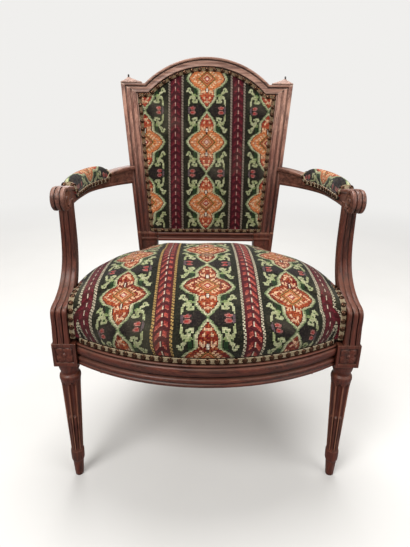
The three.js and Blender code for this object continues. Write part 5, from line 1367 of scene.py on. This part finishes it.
def pad_surface(y, share, turn):
    """Points of the pad's cover: turn runs from one skirt over the top to the other, -1 to 1."""
    x, out_x, out_y = arm_at(y)
    swell = np.sqrt(np.clip(1 - abs(2 * share - 1) ** 7, 0, 1))
    skirt = -pad_skirt * smooth_share(np.minimum(share, 1 - share) / 0.06)
    on_wall = abs(turn) > 1 - pad_wall_share
    wall = skirt - skirt * np.clip((1 - abs(turn)) / pad_wall_share, 0, 1)
    arc = np.clip(abs(turn) / (1 - pad_wall_share), 0, 1) * math.pi / 2
    dome = (3 + (pad_crown - 1) * swell) * np.clip(np.cos(arc), 0, 1) ** 0.62
    reach = np.sign(turn) * np.where(on_wall, 1, np.sin(arc) ** 0.9) * pad_half * (1 + 0.06 * swell)
    up = arm_top(y) - pad_seat_drop + np.where(on_wall, wall, dome)
    return np.stack([x + out_x * reach, y + out_y * reach, up], -1)


def make_pads():
    spans = ((0, 0.12, 14), (0.12, 0.88, 40), (0.88, 1, 14))
    shares = np.unique(np.concatenate([np.linspace(*span) for span in spans]))
    share, turn = np.meshgrid(shares, np.linspace(-1, 1, 37), indexing="ij")
    y = pad_depth(share)
    grid = pad_surface(y, share, turn)
    girth = np.cumsum(np.linalg.norm(np.diff(grid, axis=1, prepend=grid[:, :1]), axis=2), 1)
    girth = girth - girth[:, [girth.shape[1] // 2]]
    v = y - pad_cloth_middle_y
    waist = -cloth_period_v / 2
    v = np.where(v < waist, waist + (v - waist) * 0.12, v)
    cloth = np.stack([(girth - pad_cloth_aside) * 1.19, v, 0 * y + 1], -1)
    nodes = ["arm_pad_cover", "arm_pad_stuffing"]
    settings = dict(cloth=True, weld=0.02, sharp=70)
    pieces = make_pair("arm_pad_needlepoint", tube(grid, cloth), tapestry, nodes, "tapestry", **settings)
    for piece in pieces:
        points = in_mm(piece)
        settle(piece, (points[:, 2] - (arm_top(points[:, 1]) - pad_seat_drop) - 2) / 8, 2.0, 2.5)
        refined(piece)
    return pieces


# Braid and nails


def tree_of(piece):
    """What a ray can hit of a piece's cover, in millimetres."""
    faces = [tuple(p.vertices) for p in piece.data.polygons]
    return BVHTree.FromPolygons([Vector(p) for p in in_mm(piece)], faces)


def pad_depth(share):
    """Depth in the chair of a share of the pad's length."""
    return pad_front_y + 1.2 + (pad_back_y - pad_front_y - 2.4) * share


def closed_up(line, closed):
    return np.vstack([line, line[:1]]) if closed else line


def braid_strip(points, normals, closed, width):
    """Scalloped braid along points, with a raised edge cord."""
    run = lengths_of(points)
    way = np.roll(points, -1, 0) - np.roll(points, 1, 0) if closed else np.gradient(points, axis=0)
    across = unit(np.cross(normals, unit(way)))
    scallop = 0.86 + 0.14 * abs(np.sin(math.pi * run / (2 * braid_ripple)))
    ripple = 1 + 0.14 * np.cos(2 * math.pi * run / braid_ripple)
    shares, heights = np.array(braid_shares).T
    side = shares * (width / 2 - 0.6) * scallop[:, None]
    rise = heights * braid_thickness * ripple[:, None]
    top = points[:, None] + across[:, None] * side[..., None] + normals[:, None] * rise[..., None]
    under = points[:, None] + across[:, None] * side[..., ::-1][..., None] - normals[:, None] * 0.25
    cloth = np.stack([np.broadcast_to(run[:, None], side.shape), side, 0 * side], -1)
    grid = np.concatenate([top, under[:, 1:-1]], 1)
    flat = np.concatenate([cloth, cloth[:, ::-1][:, 1:-1]], 1)
    return Shape().grid(grid, around=True, along=closed, caps=not closed, cloth=flat)


def nail_heads(points, normals, closed, pitch, seed):
    """Domed heads at even steps, each a little out of line."""
    line, face = closed_up(points, closed), closed_up(normals, closed)
    run = lengths_of(line)
    count = max(1, round(run[-1] / pitch))
    draw = np.random.default_rng(seed)
    shape = Shape()
    turn = np.linspace(0, 2 * math.pi, 17)[:-1]
    for k in range(count):
        at = run[-1] * (k + 0.5) / count + draw.normal() * 0.35
        p = points_at(line, run, at)
        n = unit(points_at(face, run, at) + draw.normal(size=3) * 0.05)
        a = unit(np.cross(n, [0.31, 0.2, 0.93]))
        b = np.cross(n, a)
        p = p + n * (braid_thickness - 0.3) + b * draw.normal() * 0.25
        size = nail_radius * (1 + draw.normal() * 0.02)
        rows = np.array([
            [p + size * share * (a * math.cos(t) + b * math.sin(t)) + n * nail_rise * rise for t in turn]
            for share, rise in nail_shares
        ])
        shape.grid(rows, around=True).fan(rows[-1], p + n * nail_rise).fan(rows[0][::-1], p)
    return shape


def trimmed(build, name, points, normals, nodes, nails=None, closed=False, cloth=braid_cloth, width=braid_width):
    """A strip of braid, with a row of nails on it where their (pitch, seed) are given."""
    line, face = closed_up(points, closed), closed_up(normals, closed)
    run = lengths_of(line)
    at = np.linspace(0, run[-1], int(run[-1] / braid_step) + 1)
    line, face = points_at(line, run, at), unit(points_at(face, run, at))
    if closed:
        line, face = line[:-1], face[:-1]
    build(name + "_galon", braid_strip(line, face, closed, width), cloth, nodes, "braid", cloth=True, sharp=60)
    if nails:
        heads = nail_heads(line, face, closed, *nails)
        build(name + "_nails", heads, nail_metal, nodes, "braid", weld=0.001, sharp=60)


def trim_seat(seat):
    z = rail_top + braid_width / 2 + fit_gap
    behind = rebate_depth - 0.9 - 1.5

    def strip(build, word, x, y, normals, seed):
        points = np.stack(np.broadcast_arrays(x, y, z), 1)
        faces = np.stack(np.broadcast_arrays(x, *normals, 0.0)[1:], 1)
        trimmed(build, f"seat_{word}", points, faces, [f"seat_{word}_braid"], (seat_nail_pitch, seed))

    x = np.linspace(-1, 1, 161) * (rail_end_x - lip_end_gap + 3)
    lean = x / (bow_radius - behind)
    strip(make, "front", x, front_y(x, behind), (lean, -np.sqrt(1 - lean**2)), 3)
    y = np.linspace(block_half + 5, rear_block_front - 5, 91)
    x, radius = side_x(y, behind), side_radius - behind
    strip(make_pair, "side", x, y, ((x - side_centre[0]) / radius, (y - side_centre[1]) / radius), 5)
    rear_y = rear_block_front + rear_block_depth / 2 + rail_thickness / 2 - behind
    strip(make, "rear", np.linspace(1, -1, 61) * (plinth_inner - 5), rear_y, (0.0, 1.0), 7)
    # Up the corner beside the arm support, over the seat's edge
    corner_x = support_bottom_x - support_bottom_width / 2 - braid_width / 2 - 0.8
    tree = tree_of(seat)
    path = []
    for height in np.linspace(rail_top + 12, tack_top + 42, 22):
        hit = tree.ray_cast(Vector((corner_x, -120, height)), Vector((0, 1, 0)))[0]
        if hit is not None:
            path.append(tuple(hit))
    for depth in np.linspace(path[-1][1] + 4, 62, 14):
        path.append(tuple(tree.ray_cast(Vector((corner_x, depth, 620)), Vector((0, 0, -1)))[0]))
    path = np.array(path)
    path[:, 0] = corner_x
    path = resampled(rounded(path, 2), 60)
    face = unit(np.cross(np.gradient(path, axis=0), [1.0, 0, 0]))
    face *= np.sign(face[:, 2:3] - face[:, 1:2])
    trimmed(make_pair, "seat_corner", path + face * 0.5, face, ["seat_corner_braid"], (seat_nail_pitch, 9))


def trim_back():
    line = field_line(0.6 + braid_width / 2, 400)
    faces = np.broadcast_to(on_back(0, 0, 1) - on_back(0, 0, 0), (len(line), 3))
    points = on_back(line[:, 0], line[:, 1], cover_top + 0.2)
    settings = dict(closed=True, cloth=back_braid_cloth)
    trimmed(make, "back", points, faces, ["back_braid"], (back_nail_pitch, 11), width=back_braid_width, **settings)
    points = on_back(line[:, 0], line[:, 1], -back_thickness - 1.9)
    trimmed(make, "outside_back", points[::-1], -faces, ["outside_back_braid"], **settings)


def trim_pads(pad):
    """Braid round each arm pad: along both sides, and up over both ends."""
    tree = tree_of(pad)
    shares = np.linspace(0, 1, 60)
    aside = pad_half * 1.04
    points, normals = [], []
    for sign, order in ((-1, shares), (1, shares[::-1])):
        for share in order:
            depth = pad_depth(share)
            x, out_x, out_y = arm_at(depth)
            lift = 1 - smooth_share(min(share, 1 - share) * (pad_back_y - pad_front_y) / 20.0)
            base = float(arm_top(depth)) - pad_seat_drop - pad_skirt + braid_width / 2 + 1
            up = base + float(lift) * (pad_skirt - 1)
            points.append((x + sign * out_x * aside, depth + sign * out_y * aside, up))
            normals.append((sign * out_x, sign * out_y, 0))
        end_y = pad_depth(order[-1])
        x, out_x, out_y = arm_at(end_y)
        over = float(arm_top(end_y)) - pad_seat_drop + 4
        for t in np.linspace(-0.92, 0.92, 13):
            side = -sign * t * pad_half
            start = (x + out_x * side, end_y - sign * 25 + out_y * side, over + 9 * math.sqrt(1 - t * t))
            hit, normal, _, _ = tree.ray_cast(Vector(start), Vector((0, sign, 0)), 60)
            if hit is not None:
                points.append(tuple(hit))
                normals.append(tuple(normal))
    nails = (arm_nail_pitch, 13)
    trimmed(make_pair, "arm_pad", np.array(points), np.array(normals), ["arm_pad_braid"], nails, closed=True)


def keep_nodes():
    """Plain inner woodwork stays as the part has it, with eased edges."""
    blocks = [f"{side}_{end}_corner_block" for end in ("front", "rear") for side in ("left", "right")]
    for name in ["rear_seat_rail", *blocks]:
        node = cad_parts[name]
        node.data.materials.clear()
        node.data.materials.append(wood_x)
        worn_edges(node, 0.9, 50)


def make_hessian():
    """The cloth over the springs, a shallow dome seen only from below."""
    outline = seat_outline()
    middle = np.array([0, seat_middle_y])
    shares = np.linspace(0.05, 0.97, 12)
    rings, flat = [], []
    for side, order in ((0, shares), (1, np.linspace(0.97, 0.05, 12))):
        for share in order:
            line = middle + (outline - middle) * share
            z = tack_top + 1.2 + hessian_rise * (1 - share**2) + side * 1.0
            rings.append(np.column_stack([line, np.full(len(line), z)]))
            flat.append(np.column_stack([line, 0 * line[:, 0]]))
    shape = Shape().grid(np.array(rings), around=True, cloth=np.array(flat))
    flat_middle = (0, seat_middle_y, 0)
    shape.fan(rings[0][::-1], (0, seat_middle_y, rings[0][0][2]), flat[0][::-1], flat_middle)
    shape.fan(rings[-1], (0, seat_middle_y, rings[-1][0][2]), flat[-1], flat_middle)
    shape.points = [clear_of_posts(p, 1.5) for p in shape.points]
    piece = make("hessian_sheet", shape, linen, ["seat_hessian"], "hessian", cloth=True, weld=0.02, sharp=60)


def make_stage():
    """A floor that fades into the backdrop, which the camera sees brighter than it lights."""
    mesh = bpy.data.meshes.new("studio_floor")
    corners = [(-1, -1), (1, -1), (1, 1), (-1, 1)]
    mesh.from_pydata([(x * floor_reach, y * floor_reach, 0) for x, y in corners], [], [(0, 1, 2, 3)])
    floor = bpy.data.objects.new("studio_floor", mesh)
    bpy.context.collection.objects.link(floor)
    net = Net("studio_floor", 0.75, Specular_IOR_Level=0.2)
    grey = net.noise(net.stretched(), 3.0, 4.0, 0.5)
    floor_color = net.mix(grey, tone(216, 214, 210), tone(226, 224, 221))
    seen = Value(net, net.node("LightPath").outputs["Is Camera Ray"])
    net.put(net.shader.inputs["Base Color"], net.mix(seen, tone(150, 148, 146), floor_color))
    where = net.node("TexCoord").outputs["Object"]
    far = net.node("VectorMath", {0: where}, operation="LENGTH").outputs["Value"]
    fade = net.spread(Value(net, far), 0.9, 3.2)
    glow = net.node("Emission", {"Color": backdrop, "Strength": 1.0})
    join = net.node("MixShader", {0: fade * seen, 1: net.shader.outputs[0], 2: glow.outputs[0]})
    net.put(net.tree.nodes["Material Output"].inputs["Surface"], join.outputs[0])
    mesh.materials.append(net.material)
    world = bpy.data.worlds.new("studio")
    bpy.context.scene.world = world
    world.use_nodes = True
    tree = world.node_tree
    tree.nodes.clear()
    kinds = ("LightPath", "Background", "Background", "MixShader", "OutputWorld")
    path, shown, lighting, mixed, made = (tree.nodes.new("ShaderNode" + kind) for kind in kinds)
    shown.inputs[0].default_value = (*backdrop, 1)
    lighting.inputs[0].default_value = (1.0, 0.99, 0.97, 1)
    lighting.inputs[1].default_value = 0.36
    for source, socket in (
        (path.outputs["Is Camera Ray"], mixed.inputs[0]), (lighting.outputs[0], mixed.inputs[1]),
        (shown.outputs[0], mixed.inputs[2]), (mixed.outputs[0], made.inputs["Surface"]),
    ):
        tree.links.new(source, socket)


def lamp(name, where, target_z, size, watts):
    light = bpy.data.lights.new(name, "AREA")
    light.shape, light.size, light.energy = "DISK", size, watts
    thing = bpy.data.objects.new(name, light)
    thing.location = where
    thing.rotation_euler = (Vector((0, 0, target_z)) - Vector(where)).to_track_quat("-Z", "Y").to_euler()
    bpy.context.collection.objects.link(thing)


def make_camera():
    """The photograph's camera: height, tilt and roll, seen in the chair's own axes."""
    pitch, roll = math.radians(camera_pitch), math.radians(camera_roll)
    turn = math.radians(chair_turn)
    x, y, height = camera_spot
    spot = (x * math.cos(turn) + y * math.sin(turn), -x * math.sin(turn) + y * math.cos(turn), height)
    forward = Vector((0, math.cos(pitch), -math.sin(pitch)))
    down = Vector((0, -math.sin(pitch), -math.cos(pitch)))
    right = Vector((1, 0, 0)) * math.cos(roll) + down * math.sin(roll)
    down = -Vector((1, 0, 0)) * math.sin(roll) + down * math.cos(roll)
    turned = Matrix.Rotation(math.radians(camera_heading - chair_turn), 3, "Z")
    axes = [turned @ right, -(turned @ down), -(turned @ forward)]
    data = bpy.data.cameras.new("camera")
    data.sensor_fit, data.sensor_width, data.lens = "AUTO", 36, camera_lens
    camera = bpy.data.objects.new("camera", data)
    matrix = Matrix([[axes[c][r] for c in range(3)] for r in range(3)]).to_4x4()
    matrix.translation = Vector(place([spot])[0])
    camera.matrix_world = matrix
    bpy.context.collection.objects.link(camera)
    bpy.context.scene.camera = camera


make_camera()
make_stage()
lamp("key", (-1.2, -1.7, 2.7), 0.45, 1.4, 60)
lamp("fill", (1.9, -1.6, 1.6), 0.45, 2.0, 24)
lamp("top", (0.1, 0.5, 2.8), 0.3, 1.6, 54)
lamp("rear", (-0.6, 2.6, 1.8), 0.5, 2.0, 22)
bpy.context.scene.view_settings.view_transform = "Standard"

make_front_legs()
make_rails()
make_back_posts()
make_crest()
make_lower_rail()
make_caps()
make_arms()
make_supports()
keep_nodes()
make_underside()
make_hessian()
seat = make_seat()
make_back()
make_outside_back()
pads = make_pads()
trim_seat(seat)
trim_back()
trim_pads(pads[1])
